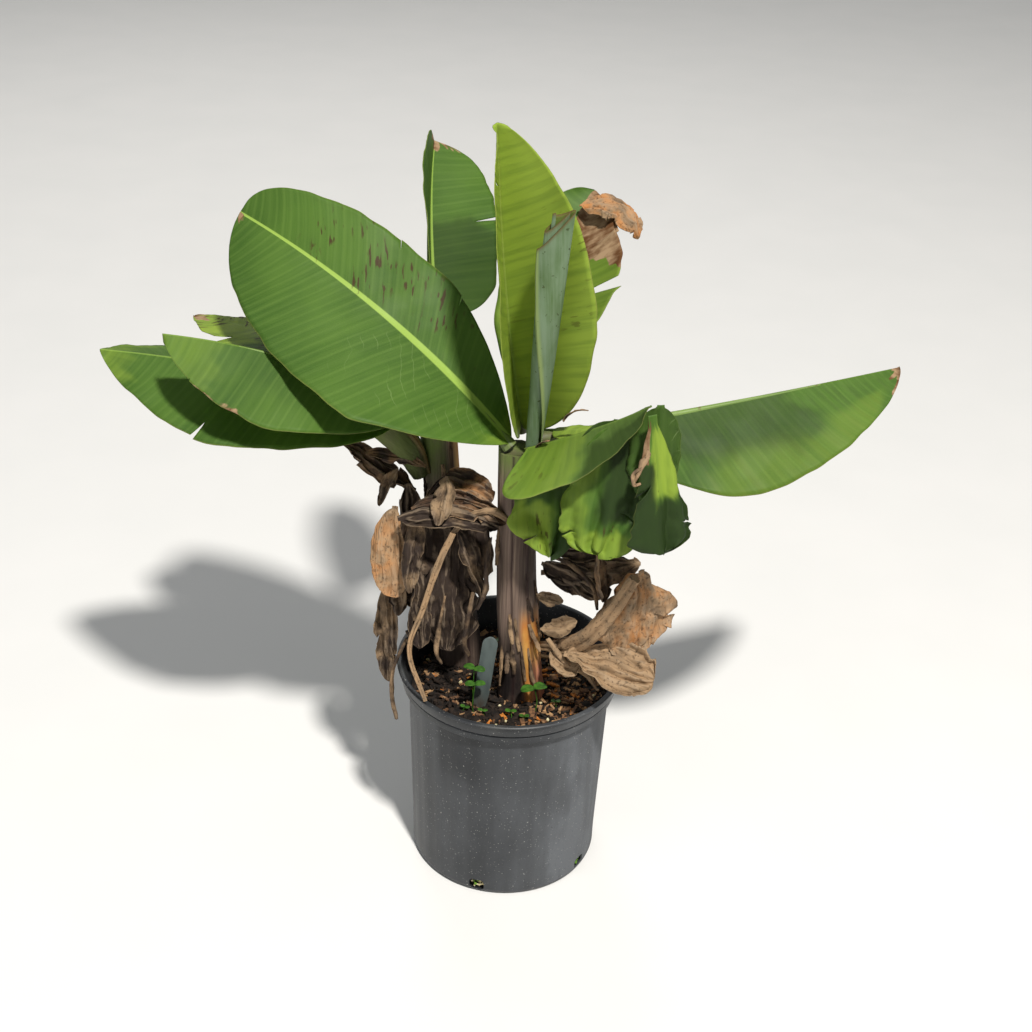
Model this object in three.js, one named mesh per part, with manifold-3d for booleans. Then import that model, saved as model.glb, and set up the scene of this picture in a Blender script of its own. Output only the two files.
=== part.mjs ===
// A young banana plant in a round nursery pot: two pseudostems, green leaves, dead leaves hanging
// from both stems, potting mix and a plant label. Millimetres, +Z up, origin at the centre of the
// flat underside of the pot, -Y towards the front.
//
// Every leaf is one blade form, worked out from botanical sizes. Its midrib leaves a stem at a base
// point and runs with a heading (degrees from +X towards +Y) and a climb (degrees above level). Along
// the way the heading changes by sway and the climb by bend. Each half of the blade has its own
// width, its own fold up from the midrib plane and its own curl.

import * as THREE from 'three';
import { mergeVertices } from 'three/addons/utils/BufferGeometryUtils.js';
import Module from 'manifold-3d';

const wasm = await Module();
wasm.setup();

// ---------------------------------------------------------------------------------- sizes
const POT_HEIGHT = 265;
const RIM_RADIUS = 130;
const COLLAR_RADIUS = 126;
const BAND_RADIUS = 123.5;
const BODY_TOP_RADIUS = 117;
const BASE_RADIUS = 110;
const BASE_ROUND = 8;
const WALL = 3;
const RIM_LIP = 3;
const COLLAR_HEIGHT = 13;
const GROOVE = 2;
const BAND_HEIGHT = 11;
const POT_SIDES = 40;

const HOLE_COUNT = 5;
const FIRST_HOLE_ANGLE = -105;
const HOLE_WIDTH = 18;
const HOLE_HEIGHT = 15;

const MIX_TOP = 228;
const MIX_EDGE_DROP = 5;
const MIX_FLAT_RADIUS = 98;

const CLEARANCE = 0.35;

const STEM_SIDES = 16;
const STEM_ROWS = 6;
const STEM_BOW = 3;
const STEM_WAIST = 1;
const MAIN_FOOT = [14, -14, MIX_TOP];
const MAIN_TOP = [-2, -12, 546];
const MAIN_FOOT_RADIUS = 25;
const MAIN_TOP_RADIUS = 20;
const REAR_FOOT = [-58, 48, MIX_TOP];
const REAR_TOP = [-90, 54, 548];
const REAR_FOOT_RADIUS = 26;
const REAR_TOP_RADIUS = 19;

const RIB_HALF_WIDTH = 4.5;
const RIB_THICKNESS = 7;
// The midrib of a small leaf has this share of its length as its half width and thickness.
const SMALL_RIB_SHARE = 1 / 30;
// A blade thins from its midrib's thickness to its own over this share of its half width.
const RIB_FADE = 1 / 3;
const BLADE_THICKNESS = 2.6;
// A half blade has its whole fold from this many midrib half widths out; the stalk is nearly flat.
const FOLD_START = 3;
const DEAD_THICKNESS = 5;
const MIDRIB_STEPS = 60;
const CURL_STEPS = 40;
const LONG_BLADE = 150;
const LONG_BLADE_ROWS = 12;
const SHORT_BLADE_ROWS = 7;
const GREEN_COLUMNS = 6;
const YOUNG_LENGTH = 100;
const LARGE_DEAD_LENGTH = 60;
const LARGE_DEAD_GRID = [7, 6];
const SMALL_DEAD_GRID = [5, 4];

// Limbs are the points of a line and the radii along it.
const REAR_SHEATH_LINE = [[-106, 40, 480], [-122, 36, 515], [-150, 34, 548]];
const REAR_SHEATH_RADII = [10, 16, 18];
const ROLL_LINE = [[14, -24, 552], [18, -44, 630], [22, -72, 730], [29, -100, 846]];
const ROLL_RADII = [8, 12, 15, 16];
const LEFT_STALK_LINE = [
  [-54, -44, 458], [-82, -52, 430], [-96, -62, 372], [-111, -78, 325], [-91, -96, 271]];
const LEFT_STALK_RADII = [4, 5, 5, 4, 3];
const RIGHT_STALK_LINE = [[34, -24, 300], [66, -44, 320], [96, -62, 368], [128, -74, 440]];
const RIGHT_STALK_RADII = [5, 8, 7, 6];
const SHEATH_SIDES = 12;
const SHEATH_ROWS = 4;
const ROLL_SIDES = 14;
const ROLL_ROWS = 6;
const DRIED_STALK_SIDES = 8;
const LEFT_STALK_ROWS = 12;
const RIGHT_STALK_ROWS = 8;

const LABEL_WIDTH = 17;
const LABEL_THICKNESS = 1.6;
const LABEL_LENGTH = 92;
const LABEL_FOOT = [-33, -48, MIX_TOP + 1];
const LABEL_LEAN = 7;
const LABEL_TILT = -8;

// ------------------------------------------------------------------------------ materials
const material = (color, roughness) => new THREE.MeshStandardMaterial({
  color, roughness, metalness: 0, side: THREE.DoubleSide,
});

const potPlastic = material('#34363a', 0.6);
const barkMix = material('#2a211a', 0.95);
const driedSheath = material('#6d6053', 0.9);
const greenBlade = material('#4c7f23', 0.5);
const youngBlade = material('#7c9f2e', 0.5);
const waxyRoll = material('#6f8f62', 0.6);
const deadDark = material('#3a302a', 0.95);
const deadTan = material('#a07a55', 0.9);
const labelPlastic = material('#8d9492', 0.5);

// ---------------------------------------------------------------------------- leaf tables
// Half blades are [width, fold, curl, place of the widest point, base bluntness, tip bluntness].
const GREEN_LEAVES = {
  big_left_leaf: {
    base: [-6, -24, 556], heading: 162, climb: 46, bend: -32, sway: -13, stalk: 4, length: 382,
    roll: 7, twist: 45, left: [122, 4, 0, 0.36, 1.4, 2.0], right: [74, 12, 0, 0.42, 1.4, 2.4],
  },
  tall_upright_leaf: {
    base: [2, 12, 552], heading: 66, climb: 109, bend: -15, sway: -11, stalk: 5, length: 357,
    roll: -29, twist: -13, left: [61, 75, 12, 0.45, 2.2, 2.0], right: [98, 24, 10, 0.51, 1.9, 1.7],
  },
  right_rear_leaf: {
    base: [14, 26, 556], heading: 66, climb: 67, bend: -24, sway: 3, stalk: 30, length: 232,
    roll: 14, twist: -24, left: [70, 15, 0, 0.45, 2, 2], right: [70, 22, 4, 0.58, 1.6, 1.3],
  },
  rear_upright_leaf: {
    base: [-86, 66, 560], heading: 109, climb: 63, bend: -23, sway: -22, stalk: 90, length: 206,
    roll: -23, twist: -3, left: [65, 59, 3, 0.5, 2, 2.6], right: [82, 6, -3, 0.34, 2.5, 2.6],
  },
  left_upper_leaf: {
    base: [-96, 34, 560], heading: 194, climb: 33, bend: -23, sway: -2, stalk: 20, length: 277,
    roll: -3, twist: 3, left: [85, -39, 1, 0.59, 1.8, 1.6], right: [80, -60, 0, 0.5, 2, 2],
  },
  left_lower_leaf: {
    base: [-100, 52, 546], heading: 187, climb: 21, bend: -20, sway: -11, stalk: 30, length: 328,
    roll: -4, twist: 17, left: [99, -21, -1, 0.59, 2.2, 1.3], right: [80, -25, 0, 0.5, 2, 1.6],
  },
  spotted_left_leaf: {
    base: [-96, 70, 560], heading: 169, climb: 22, bend: -28, sway: -16, stalk: 40, length: 260,
    roll: -11, twist: 5, left: [65, -3, 5, 0.64, 1.8, 1.3], right: [62, -10, 0, 0.45, 2, 2],
  },
  long_right_leaf: {
    base: [18, -8, 560], heading: 13, climb: 6, bend: -2, sway: 9, stalk: 70, length: 350,
    roll: 4, twist: 14, left: [85, -50, 0, 0.45, 2, 2], right: [109, -52, 2, 0.42, 1.6, 1.5],
  },
  drooping_leaf_lobe: {
    base: [8, -30, 556], heading: -32, climb: 30, bend: 9, sway: -20, stalk: 6, length: 184,
    roll: 29, twist: -58, left: [8, -30, 0, 0.4, 2, 2], right: [92, -44, 14, 0.16, 2.4, 1.15],
  },
  drooping_leaf_segment_1: {
    base: [33, -44, 566], heading: -85, climb: -74, bend: 0, sway: 5, stalk: 2, length: 118,
    roll: 1, twist: 0, left: [35, -8, 0, 0.6, 2.5, 2.0], right: [42, -8, 0, 0.66, 2.4, 1.3],
  },
  drooping_leaf_segment_2: {
    base: [98, -98, 624], heading: -120, climb: -79, bend: 0, sway: 0, stalk: 2, length: 139,
    roll: 20, twist: 0, left: [40, -8, 0, 0.6, 2.5, 3.3], right: [45, -8, 0, 0.7, 1.9, 3.0],
  },
  drooping_leaf_segment_3: {
    base: [127, -126, 650], heading: -50, climb: -77, bend: 0, sway: 0, stalk: 2, length: 144,
    roll: -20, twist: 0, left: [34, -8, 0, 0.9, 1.25, 1.8], right: [34, -8, 0, 0.9, 1.15, 2.2],
  },
  small_yellow_leaf: {
    base: [20, 4, 560], heading: -20, climb: 14, bend: -5, sway: 0, stalk: 18, length: 62,
    roll: 0, twist: 0, left: [10, 5, 0, 0.45, 2, 1.6], right: [30, 5, 0, 0.45, 2, 1.6],
  },
};

const DEAD_LEAVES = {
  dead_leaf_tip_rear: {
    base: [54, 136, 762], heading: -10, climb: 35, bend: -120, sway: 0, stalk: 2, length: 85,
    roll: 0, twist: 0, left: [22, -20, 0, 0.5, 2, 2], right: [24, -20, 0, 0.5, 2, 2],
  },
  dead_leaf_left_tan: {
    base: [-131, -10, 467], heading: -88, climb: -80, bend: 0, sway: 20, stalk: 2, length: 106,
    roll: -11, twist: 0, left: [11, -8, 0, 0.68, 2, 2], right: [33, -8, 0, 0.49, 1.6, 1.8],
  },
  dead_leaf_left_dark: {
    base: [-112, 34, 462], heading: 185, climb: 37, bend: 0, sway: 0, stalk: 2, length: 97,
    roll: 20, twist: 0, left: [16, 0, 0, 0.5, 2, 2], right: [14, 0, 0, 0.5, 2, 2],
  },
  dead_leaf_rear_stem: {
    base: [-67, 12, 504], heading: -94, climb: -81, bend: 0, sway: 4, stalk: 2, length: 218,
    roll: 18, twist: 0, left: [45, -8, 0, 0.34, 2.7, 2.6], right: [49, -8, 0, 0.49, 2.3, 2.6],
  },
  dead_leaf_between_stems: {
    base: [-126, -34, 466], heading: -2, climb: 25, bend: -55, sway: 0, stalk: 2, length: 110,
    roll: -50, twist: 0, left: [16, -10, 0, 0.5, 2, 2], right: [20, -10, 0, 0.5, 2, 2],
  },
  dead_leaf_over_rim: {
    base: [-140, 12, 352], heading: -96, climb: -88, bend: 0, sway: 0, stalk: 2, length: 132,
    roll: 0, twist: 0, left: [12, 0, 0, 0.4, 2, 2], right: [18, 0, 0, 0.35, 2, 2],
  },
  dead_leaf_right_dark: {
    base: [30, -20, 396], heading: -10, climb: 14, bend: 2, sway: 0, stalk: 8, length: 104,
    roll: -40, twist: 0, left: [18, 0, 0, 0.5, 2, 2], right: [30, 0, 0, 0.4, 2, 1.6],
  },
  dead_leaf_right_upper: {
    base: [135, -75, 440], heading: -73, climb: -88, bend: -10, sway: -12, stalk: 2, length: 110,
    roll: 18, twist: 0, left: [54, -8, 0, 0.58, 1.4, 1.4], right: [50, -8, 0, 0.63, 1.4, 2.1],
  },
  dead_leaf_right_lower: {
    base: [59, -66, 321], heading: -20, climb: 4, bend: -12, sway: 0, stalk: 2, length: 102,
    roll: -37, twist: -7, left: [28, 0, 0, 0.68, 1.6, 2.6], right: [31, 0, 0, 0.68, 1.4, 2.7],
  },
  dead_leaf_right_crumpled: {
    base: [44, -46, 318], heading: -25, climb: -8, bend: 0, sway: 0, stalk: 2, length: 46,
    roll: -50, twist: 0, left: [20, 0, 0, 0.5, 2, 2], right: [26, 0, 0, 0.5, 2, 2],
  },
  dead_leaf_rear_cap: {
    base: [-80, 2, 500], heading: -15, climb: -8, bend: -24, sway: 0, stalk: 2, length: 58,
    roll: -35, twist: 0, left: [20, -10, 0, 0.5, 2, 2], right: [24, -10, 0, 0.5, 2, 2],
  },
  dead_leaf_rear_flap: {
    base: [-75, -18, 512], heading: -104, climb: -53, bend: 0, sway: 0, stalk: 2, length: 52,
    roll: 0, twist: 0, left: [12, 0, 0, 0.5, 2, 2], right: [14, 0, 0, 0.5, 2, 2],
  },
  dead_leaf_left_back: {
    base: [-120, 22, 477], heading: -39, climb: -82, bend: 0, sway: 0, stalk: 2, length: 196,
    roll: -44, twist: 0, left: [23, -8, 0, 0.45, 2, 2], right: [21, -8, 0, 0.6, 2, 2],
  },
  dead_leaf_left_curl: {
    base: [-131, 22, 496], heading: -137, climb: -55, bend: 0, sway: 0, stalk: 2, length: 44,
    roll: 0, twist: 0, left: [8, 0, 0, 0.5, 2, 2], right: [10, 0, 0, 0.5, 2, 2],
  },
  dead_leaf_right_pale: {
    base: [32, -38, 333], heading: -29, climb: 31, bend: 0, sway: 0, stalk: 2, length: 50,
    roll: -30, twist: 0, left: [10, 0, 0, 0.5, 2, 2], right: [13, 0, 0, 0.5, 2, 2],
  },
  dead_leaf_right_scrap: {
    base: [26, -37, 379], heading: -32, climb: 5, bend: 0, sway: 0, stalk: 2, length: 32,
    roll: -40, twist: 0, left: [8, 0, 0, 0.5, 2, 2], right: [9, 0, 0, 0.5, 2, 2],
  },
};

// -------------------------------------------------------------------------------- helpers
const radians = THREE.MathUtils.degToRad;

/** Joins shared corners, so that a geometry becomes one closed mesh of positions alone. */
function closedMesh(geometry) {
  geometry.deleteAttribute('normal');
  geometry.deleteAttribute('uv');
  return mergeVertices(geometry, 1e-4);
}

function toSolid(geometry) {
  const mesh = closedMesh(geometry);
  return new wasm.Manifold(new wasm.Mesh({
    numProp: 3,
    vertProperties: new Float32Array(mesh.attributes.position.array),
    triVerts: new Uint32Array(mesh.index.array),
  }));
}

function toGeometry(solid) {
  const mesh = solid.getMesh();
  const geometry = new THREE.BufferGeometry();
  geometry.setAttribute('position', new THREE.BufferAttribute(mesh.vertProperties, 3));
  geometry.setIndex(new THREE.BufferAttribute(mesh.triVerts, 1));
  geometry.computeVertexNormals();
  return geometry;
}

/** The largest of the bodies that a cut leaves. */
function largestBody(solid) {
  const bodies = solid.decompose();
  return bodies.reduce((best, body) => (body.volume() > best.volume() ? body : best));
}

/** Share of the full width at s, from 0 at the blade's base to 0 at its tip. */
function outline(s, widest, baseBluntness, tipBluntness) {
  const fromWidest = s < widest ? 1 - s / widest : (s - widest) / (1 - widest);
  const bluntness = s < widest ? baseBluntness : tipBluntness;
  return Math.max(0, 1 - Math.min(1, fromWidest) ** bluntness) ** (1 / bluntness);
}

/** Points of the midrib with its side and normal directions, at even steps from base to tip. */
function midrib(leaf) {
  const total = leaf.stalk + leaf.length;
  const stations = [];
  const point = new THREE.Vector3(...leaf.base);
  let lastTangent = null;
  for (let step = 0; step <= MIDRIB_STEPS; step += 1) {
    const u = step / MIDRIB_STEPS;
    const heading = radians(leaf.heading + leaf.sway * u);
    const climb = radians(leaf.climb + leaf.bend * u);
    const tangent = new THREE.Vector3(
      Math.cos(climb) * Math.cos(heading), Math.cos(climb) * Math.sin(heading), Math.sin(climb));
    if (lastTangent) {
      point.addScaledVector(lastTangent.add(tangent), total / MIDRIB_STEPS / 2);
    }
    const levelSide = new THREE.Vector3(Math.sin(heading), -Math.cos(heading), 0);
    const turn = radians(leaf.roll + leaf.twist * u);
    const side = levelSide.clone().applyAxisAngle(tangent, -turn);
    const normal = new THREE.Vector3().crossVectors(side, tangent);
    stations.push({ point: point.clone(), side, normal });
    lastTangent = tangent.clone();
  }
  return stations;
}

function stationAt(stations, u) {
  const place = u * MIDRIB_STEPS;
  const low = Math.min(MIDRIB_STEPS - 1, Math.floor(place));
  const part = place - low;
  const blend = (key) => stations[low][key].clone().lerp(stations[low + 1][key], part);
  return { point: blend('point'), side: blend('side'), normal: blend('normal') };
}

/** Reach sideways and upwards, in shares of the half width, at t along a folded, curled half. */
function crossSection(t, fold, curl) {
  let across = 0;
  let up = 0;
  for (let step = 0; step < CURL_STEPS; step += 1) {
    const angle = radians(fold + curl * t * (step + 0.5) / CURL_STEPS);
    across += Math.cos(angle) * t / CURL_STEPS;
    up += Math.sin(angle) * t / CURL_STEPS;
  }
  return { across, up };
}

/** A leaf blade with its midrib and stalk: a thin box, bent along the midrib and across it. */
function bladeGeometry(leaf, thickness, rows, columns, gap) {
  const stations = midrib(leaf);
  const bladeStart = leaf.stalk / (leaf.stalk + leaf.length);
  const geometry = new THREE.BoxGeometry(1, 2, 2, rows, columns, 1);
  const position = geometry.attributes.position;
  const smallRib = leaf.length * SMALL_RIB_SHARE;
  const ribHalf = Math.min(RIB_HALF_WIDTH, smallRib);
  const ribThickness = Math.max(thickness, Math.min(RIB_THICKNESS, smallRib));
  for (let index = 0; index < position.count; index += 1) {
    const u = 0.5 - 0.5 * Math.cos(Math.PI * (position.getX(index) + 0.5));
    const t = -position.getY(index);
    const face = position.getZ(index);
    const s = Math.max(0, (u - bladeStart) / (1 - bladeStart));
    const [width, fold, curl, ...shape] = t < 0 ? leaf.left : leaf.right;
    const half = Math.max(ribHalf, width * outline(s, ...shape)) + gap;
    const open = Math.min(1, half / (FOLD_START * ribHalf));
    const { across, up } = crossSection(Math.abs(t), fold * open, curl * open);
    const { point, side, normal } = stationAt(stations, u);
    const thick = THREE.MathUtils.lerp(ribThickness, thickness, Math.min(1, Math.abs(t) / RIB_FADE));
    const away = face * (thick / 2 + gap);
    const angle = radians(open * (fold + curl * Math.abs(t))) * Math.sign(t);
    point.addScaledVector(side, Math.sign(t) * half * across - away * Math.sin(angle));
    point.addScaledVector(normal, half * up + away * Math.cos(angle));
    position.setXYZ(index, point.x, point.y, point.z);
  }
  return geometry;
}

/** A limb along a smooth line through the points, its radius going evenly through the radii. */
function limbGeometry(points, radii, sides, rows, gap) {
  const curve = new THREE.CatmullRomCurve3(points.map((point) => new THREE.Vector3(...point)));
  const geometry = new THREE.CylinderGeometry(1, 1, 1, sides, rows);
  const position = geometry.attributes.position;
  for (let index = 0; index < position.count; index += 1) {
    const u = position.getY(index) + 0.5;
    const along = u * (radii.length - 1);
    const low = Math.min(radii.length - 2, Math.floor(along));
    const radius = THREE.MathUtils.lerp(radii[low], radii[low + 1], along - low) + gap;
    const tangent = curve.getTangent(u);
    const side = new THREE.Vector3(0, 1, 0).cross(tangent).normalize();
    const front = new THREE.Vector3().crossVectors(tangent, side);
    const point = curve.getPoint(u);
    point.addScaledVector(side, radius * position.getX(index));
    point.addScaledVector(front, -radius * position.getZ(index));
    position.setXYZ(index, point.x, point.y, point.z);
  }
  return geometry;
}

/** A turned form from [radius, height] corners that run from the axis back to the axis. */
function turnedGeometry(corners, sides) {
  const geometry = new THREE.LatheGeometry(corners.map(([r, z]) => new THREE.Vector2(r, z)), sides);
  return geometry.rotateX(Math.PI / 2);
}

// ------------------------------------------------------------------------------- assembly
const group = new THREE.Group();
const placed = [];

/** Adds a node, cut back where it would meet the nodes that are there already. */
function addNode(name, look, build) {
  let solid = toSolid(build(0));
  const box = solid.boundingBox();
  const meets = (other) => [0, 1, 2].every(
    (axis) => box.min[axis] < other.max[axis] && box.max[axis] > other.min[axis]);
  for (const other of placed) {
    if (meets(other.box)) {
      solid = solid.subtract(other.grown);
    }
  }
  const mesh = new THREE.Mesh(toGeometry(largestBody(solid)), look);
  mesh.name = name;
  group.add(mesh);
  const grown = toSolid(build(CLEARANCE));
  placed.push({ grown, box: grown.boundingBox() });
}

// ------------------------------------------------------------------------ pot and potting mix
const bandBottom = POT_HEIGHT - RIM_LIP - COLLAR_HEIGHT - GROOVE - BAND_HEIGHT;
const bandTop = bandBottom + BAND_HEIGHT;
const collarBottom = bandTop + GROOVE;
const collarTop = collarBottom + COLLAR_HEIGHT;

/** Inner radius of the pot's straight wall at a height above the floor. */
function innerRadius(height) {
  return THREE.MathUtils.mapLinear(height, 0, bandBottom, BASE_RADIUS, BODY_TOP_RADIUS) - WALL;
}

function potSolid() {
  const corners = [[0, 0], [BASE_RADIUS - BASE_ROUND, 0]];
  for (const angle of [-60, -30, 0]) {
    corners.push([
      BASE_RADIUS - BASE_ROUND + BASE_ROUND * Math.cos(radians(angle)),
      BASE_ROUND + BASE_ROUND * Math.sin(radians(angle))]);
  }
  corners.push(
    [BODY_TOP_RADIUS, bandBottom], [BAND_RADIUS, bandBottom + 2], [BAND_RADIUS, bandTop],
    [BAND_RADIUS - GROOVE, bandTop], [BAND_RADIUS - GROOVE, collarBottom],
    [COLLAR_RADIUS, collarBottom], [COLLAR_RADIUS + 1, collarTop], [RIM_RADIUS, collarTop],
    [RIM_RADIUS, POT_HEIGHT], [RIM_RADIUS - 2 * WALL, POT_HEIGHT],
    [innerRadius(bandBottom) + 3, bandBottom + 4], [innerRadius(bandBottom), bandBottom - 4],
    [innerRadius(WALL), WALL], [0, WALL]);
  let pot = toSolid(turnedGeometry(corners, POT_SIDES));
  for (let count = 0; count < HOLE_COUNT; count += 1) {
    const hole = new THREE.BoxGeometry(6 * WALL, HOLE_WIDTH, HOLE_HEIGHT);
    hole.translate(BASE_RADIUS - WALL, 0, WALL + HOLE_HEIGHT / 2 + 0.5);
    hole.rotateZ(radians(FIRST_HOLE_ANGLE + count * 360 / HOLE_COUNT));
    pot = pot.subtract(toSolid(hole));
  }
  return pot;
}

function mixGeometry(gap) {
  const edge = MIX_TOP - MIX_EDGE_DROP;
  return turnedGeometry([
    [0, WALL + CLEARANCE - gap], [innerRadius(WALL) - CLEARANCE + gap, WALL + CLEARANCE - gap],
    [innerRadius(edge) - CLEARANCE + gap, edge + gap], [MIX_FLAT_RADIUS, MIX_TOP + gap],
    [0, MIX_TOP + gap]], POT_SIDES);
}

const potMesh = new THREE.Mesh(toGeometry(potSolid()), potPlastic);
potMesh.name = 'nursery_pot';
group.add(potMesh);
const potWall = potSolid();
placed.push({ grown: potWall, box: potWall.boundingBox() });
addNode('potting_mix', barkMix, mixGeometry);

// ---------------------------------------------------------------------------------- stems
function stemGeometry(foot, top, footRadius, topRadius, gap) {
  const middle = foot.map((value, axis) => (value + top[axis]) / 2 - (axis === 0 ? STEM_BOW : 0));
  const middleRadius = (footRadius + topRadius) / 2 - STEM_WAIST;
  return limbGeometry([foot, middle, top], [footRadius, middleRadius, topRadius],
    STEM_SIDES, STEM_ROWS, gap);
}

addNode('main_pseudostem', driedSheath, (gap) => stemGeometry(
  MAIN_FOOT, MAIN_TOP, MAIN_FOOT_RADIUS, MAIN_TOP_RADIUS, gap));
addNode('rear_pseudostem', driedSheath, (gap) => stemGeometry(
  REAR_FOOT, REAR_TOP, REAR_FOOT_RADIUS, REAR_TOP_RADIUS, gap));
addNode('rear_green_sheath', greenBlade, (gap) => limbGeometry(
  REAR_SHEATH_LINE, REAR_SHEATH_RADII, SHEATH_SIDES, SHEATH_ROWS, gap));
addNode('rolled_new_leaf', waxyRoll, (gap) => limbGeometry(
  ROLL_LINE, ROLL_RADII, ROLL_SIDES, ROLL_ROWS, gap));

// ----------------------------------------------------------------------------------- leaves
for (const [name, leaf] of Object.entries(GREEN_LEAVES)) {
  const rows = leaf.length > LONG_BLADE ? LONG_BLADE_ROWS : SHORT_BLADE_ROWS;
  addNode(name, leaf.length > YOUNG_LENGTH ? greenBlade : youngBlade,
    (gap) => bladeGeometry(leaf, BLADE_THICKNESS, rows, GREEN_COLUMNS, gap));
}
for (const [name, leaf] of Object.entries(DEAD_LEAVES)) {
  const [rows, columns] = leaf.length > LARGE_DEAD_LENGTH ? LARGE_DEAD_GRID : SMALL_DEAD_GRID;
  addNode(name, name.includes('dark') ? deadDark : deadTan,
    (gap) => bladeGeometry(leaf, DEAD_THICKNESS, rows, columns, gap));
}
addNode('dried_stalk_left', deadTan, (gap) => limbGeometry(
  LEFT_STALK_LINE, LEFT_STALK_RADII, DRIED_STALK_SIDES, LEFT_STALK_ROWS, gap));
addNode('dried_stalk_right', deadTan, (gap) => limbGeometry(
  RIGHT_STALK_LINE, RIGHT_STALK_RADII, DRIED_STALK_SIDES, RIGHT_STALK_ROWS, gap));

// ----------------------------------------------------------------------------------- label
function labelGeometry() {
  const half = LABEL_WIDTH / 2;
  const shape = new THREE.Shape();
  shape.moveTo(-half, 0);
  shape.lineTo(half, 0);
  shape.lineTo(half, LABEL_LENGTH - half);
  shape.absarc(0, LABEL_LENGTH - half, half, 0, Math.PI);
  const label = new THREE.ExtrudeGeometry(shape, {
    depth: LABEL_THICKNESS, bevelEnabled: false, curveSegments: 10,
  });
  label.rotateX(Math.PI / 2 + radians(LABEL_TILT));
  label.rotateY(radians(LABEL_LEAN));
  return label.translate(...LABEL_FOOT);
}
addNode('plant_label', labelPlastic, labelGeometry);

export default group;
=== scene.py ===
"""A young banana plant in a round nursery pot, built piece by piece over its CAD frame.

Lengths in the tables are millimetres and angles are degrees; pieces are built in metres.
"""
import random
from collections import namedtuple

import bmesh
import bpy
import numpy as np
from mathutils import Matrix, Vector, noise


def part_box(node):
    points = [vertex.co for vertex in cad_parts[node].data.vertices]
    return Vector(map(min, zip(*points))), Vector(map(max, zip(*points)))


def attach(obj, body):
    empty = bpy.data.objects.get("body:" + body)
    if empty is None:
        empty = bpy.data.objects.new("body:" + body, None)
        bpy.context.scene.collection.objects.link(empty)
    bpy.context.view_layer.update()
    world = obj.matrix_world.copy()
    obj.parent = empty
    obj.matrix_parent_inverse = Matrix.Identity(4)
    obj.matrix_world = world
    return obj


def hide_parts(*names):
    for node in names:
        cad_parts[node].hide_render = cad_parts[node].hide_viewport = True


bl_info = {
    "name": "Potted Banana Plant",
    "version": (1, 0, 0),
    "blender": (4, 5, 0),
    "location": "View3D > Sidebar > Banana Plant",
    "description": "Builds a young banana plant with green and dried leaves in a nursery pot",
    "category": "Object",
}

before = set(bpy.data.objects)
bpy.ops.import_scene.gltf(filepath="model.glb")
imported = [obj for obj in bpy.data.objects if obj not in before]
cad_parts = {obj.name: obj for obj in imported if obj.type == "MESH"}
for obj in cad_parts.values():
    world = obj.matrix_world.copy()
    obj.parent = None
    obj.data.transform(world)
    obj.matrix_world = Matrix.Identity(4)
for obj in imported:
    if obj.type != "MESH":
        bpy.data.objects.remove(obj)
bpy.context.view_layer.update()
MM = 0.001
BODY = "root"


# ------------------------------------------------------------------------------- leaf sizes
# A half blade is (width, fold up, curl, place of the widest point, base and tip bluntness).
Leaf = namedtuple("Leaf", "base heading climb bend sway stalk length roll twist left right")

GREEN_LEAVES = {
    "big_left_leaf": Leaf((-6, -24, 556), 162, 46, -32, -13, 4, 382, 7, 45,
                          (122, 4, 0, 0.36, 1.4, 2.0), (74, 12, 0, 0.42, 1.4, 2.4)),
    "tall_upright_leaf": Leaf((2, 12, 552), 66, 109, -15, -11, 5, 357, -29, -13,
                              (61, 75, 12, 0.45, 2.2, 2.0), (98, 24, 10, 0.51, 1.9, 1.7)),
    "right_rear_leaf": Leaf((14, 26, 556), 66, 67, -24, 3, 30, 232, 14, -24,
                            (70, 15, 0, 0.45, 2, 2), (70, 22, 4, 0.58, 1.6, 1.3)),
    "rear_upright_leaf": Leaf((-86, 66, 560), 109, 63, -23, -22, 90, 206, -23, -3,
                              (65, 59, 3, 0.5, 2, 2.6), (82, 6, -3, 0.34, 2.5, 2.6)),
    "left_upper_leaf": Leaf((-96, 34, 560), 194, 33, -23, -2, 20, 277, -3, 3,
                            (85, -39, 1, 0.59, 1.8, 1.6), (80, -60, 0, 0.5, 2, 2)),
    "left_lower_leaf": Leaf((-100, 52, 546), 187, 21, -20, -11, 30, 328, -4, 17,
                            (99, -21, -1, 0.59, 2.2, 1.3), (80, -25, 0, 0.5, 2, 1.6)),
    "spotted_left_leaf": Leaf((-96, 70, 560), 169, 22, -28, -16, 40, 260, -11, 5,
                              (65, -3, 5, 0.64, 1.8, 1.3), (62, -10, 0, 0.45, 2, 2)),
    "long_right_leaf": Leaf((18, -8, 560), 13, 6, -2, 9, 70, 350, 4, 14,
                            (85, -50, 0, 0.45, 2, 2), (109, -52, 2, 0.42, 1.6, 1.5)),
    "small_yellow_leaf": Leaf((20, 4, 560), -20, 14, -5, 0, 18, 62, 0, 0,
                              (10, 5, 0, 0.45, 2, 1.6), (30, 5, 0, 0.45, 2, 1.6)),
}

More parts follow.
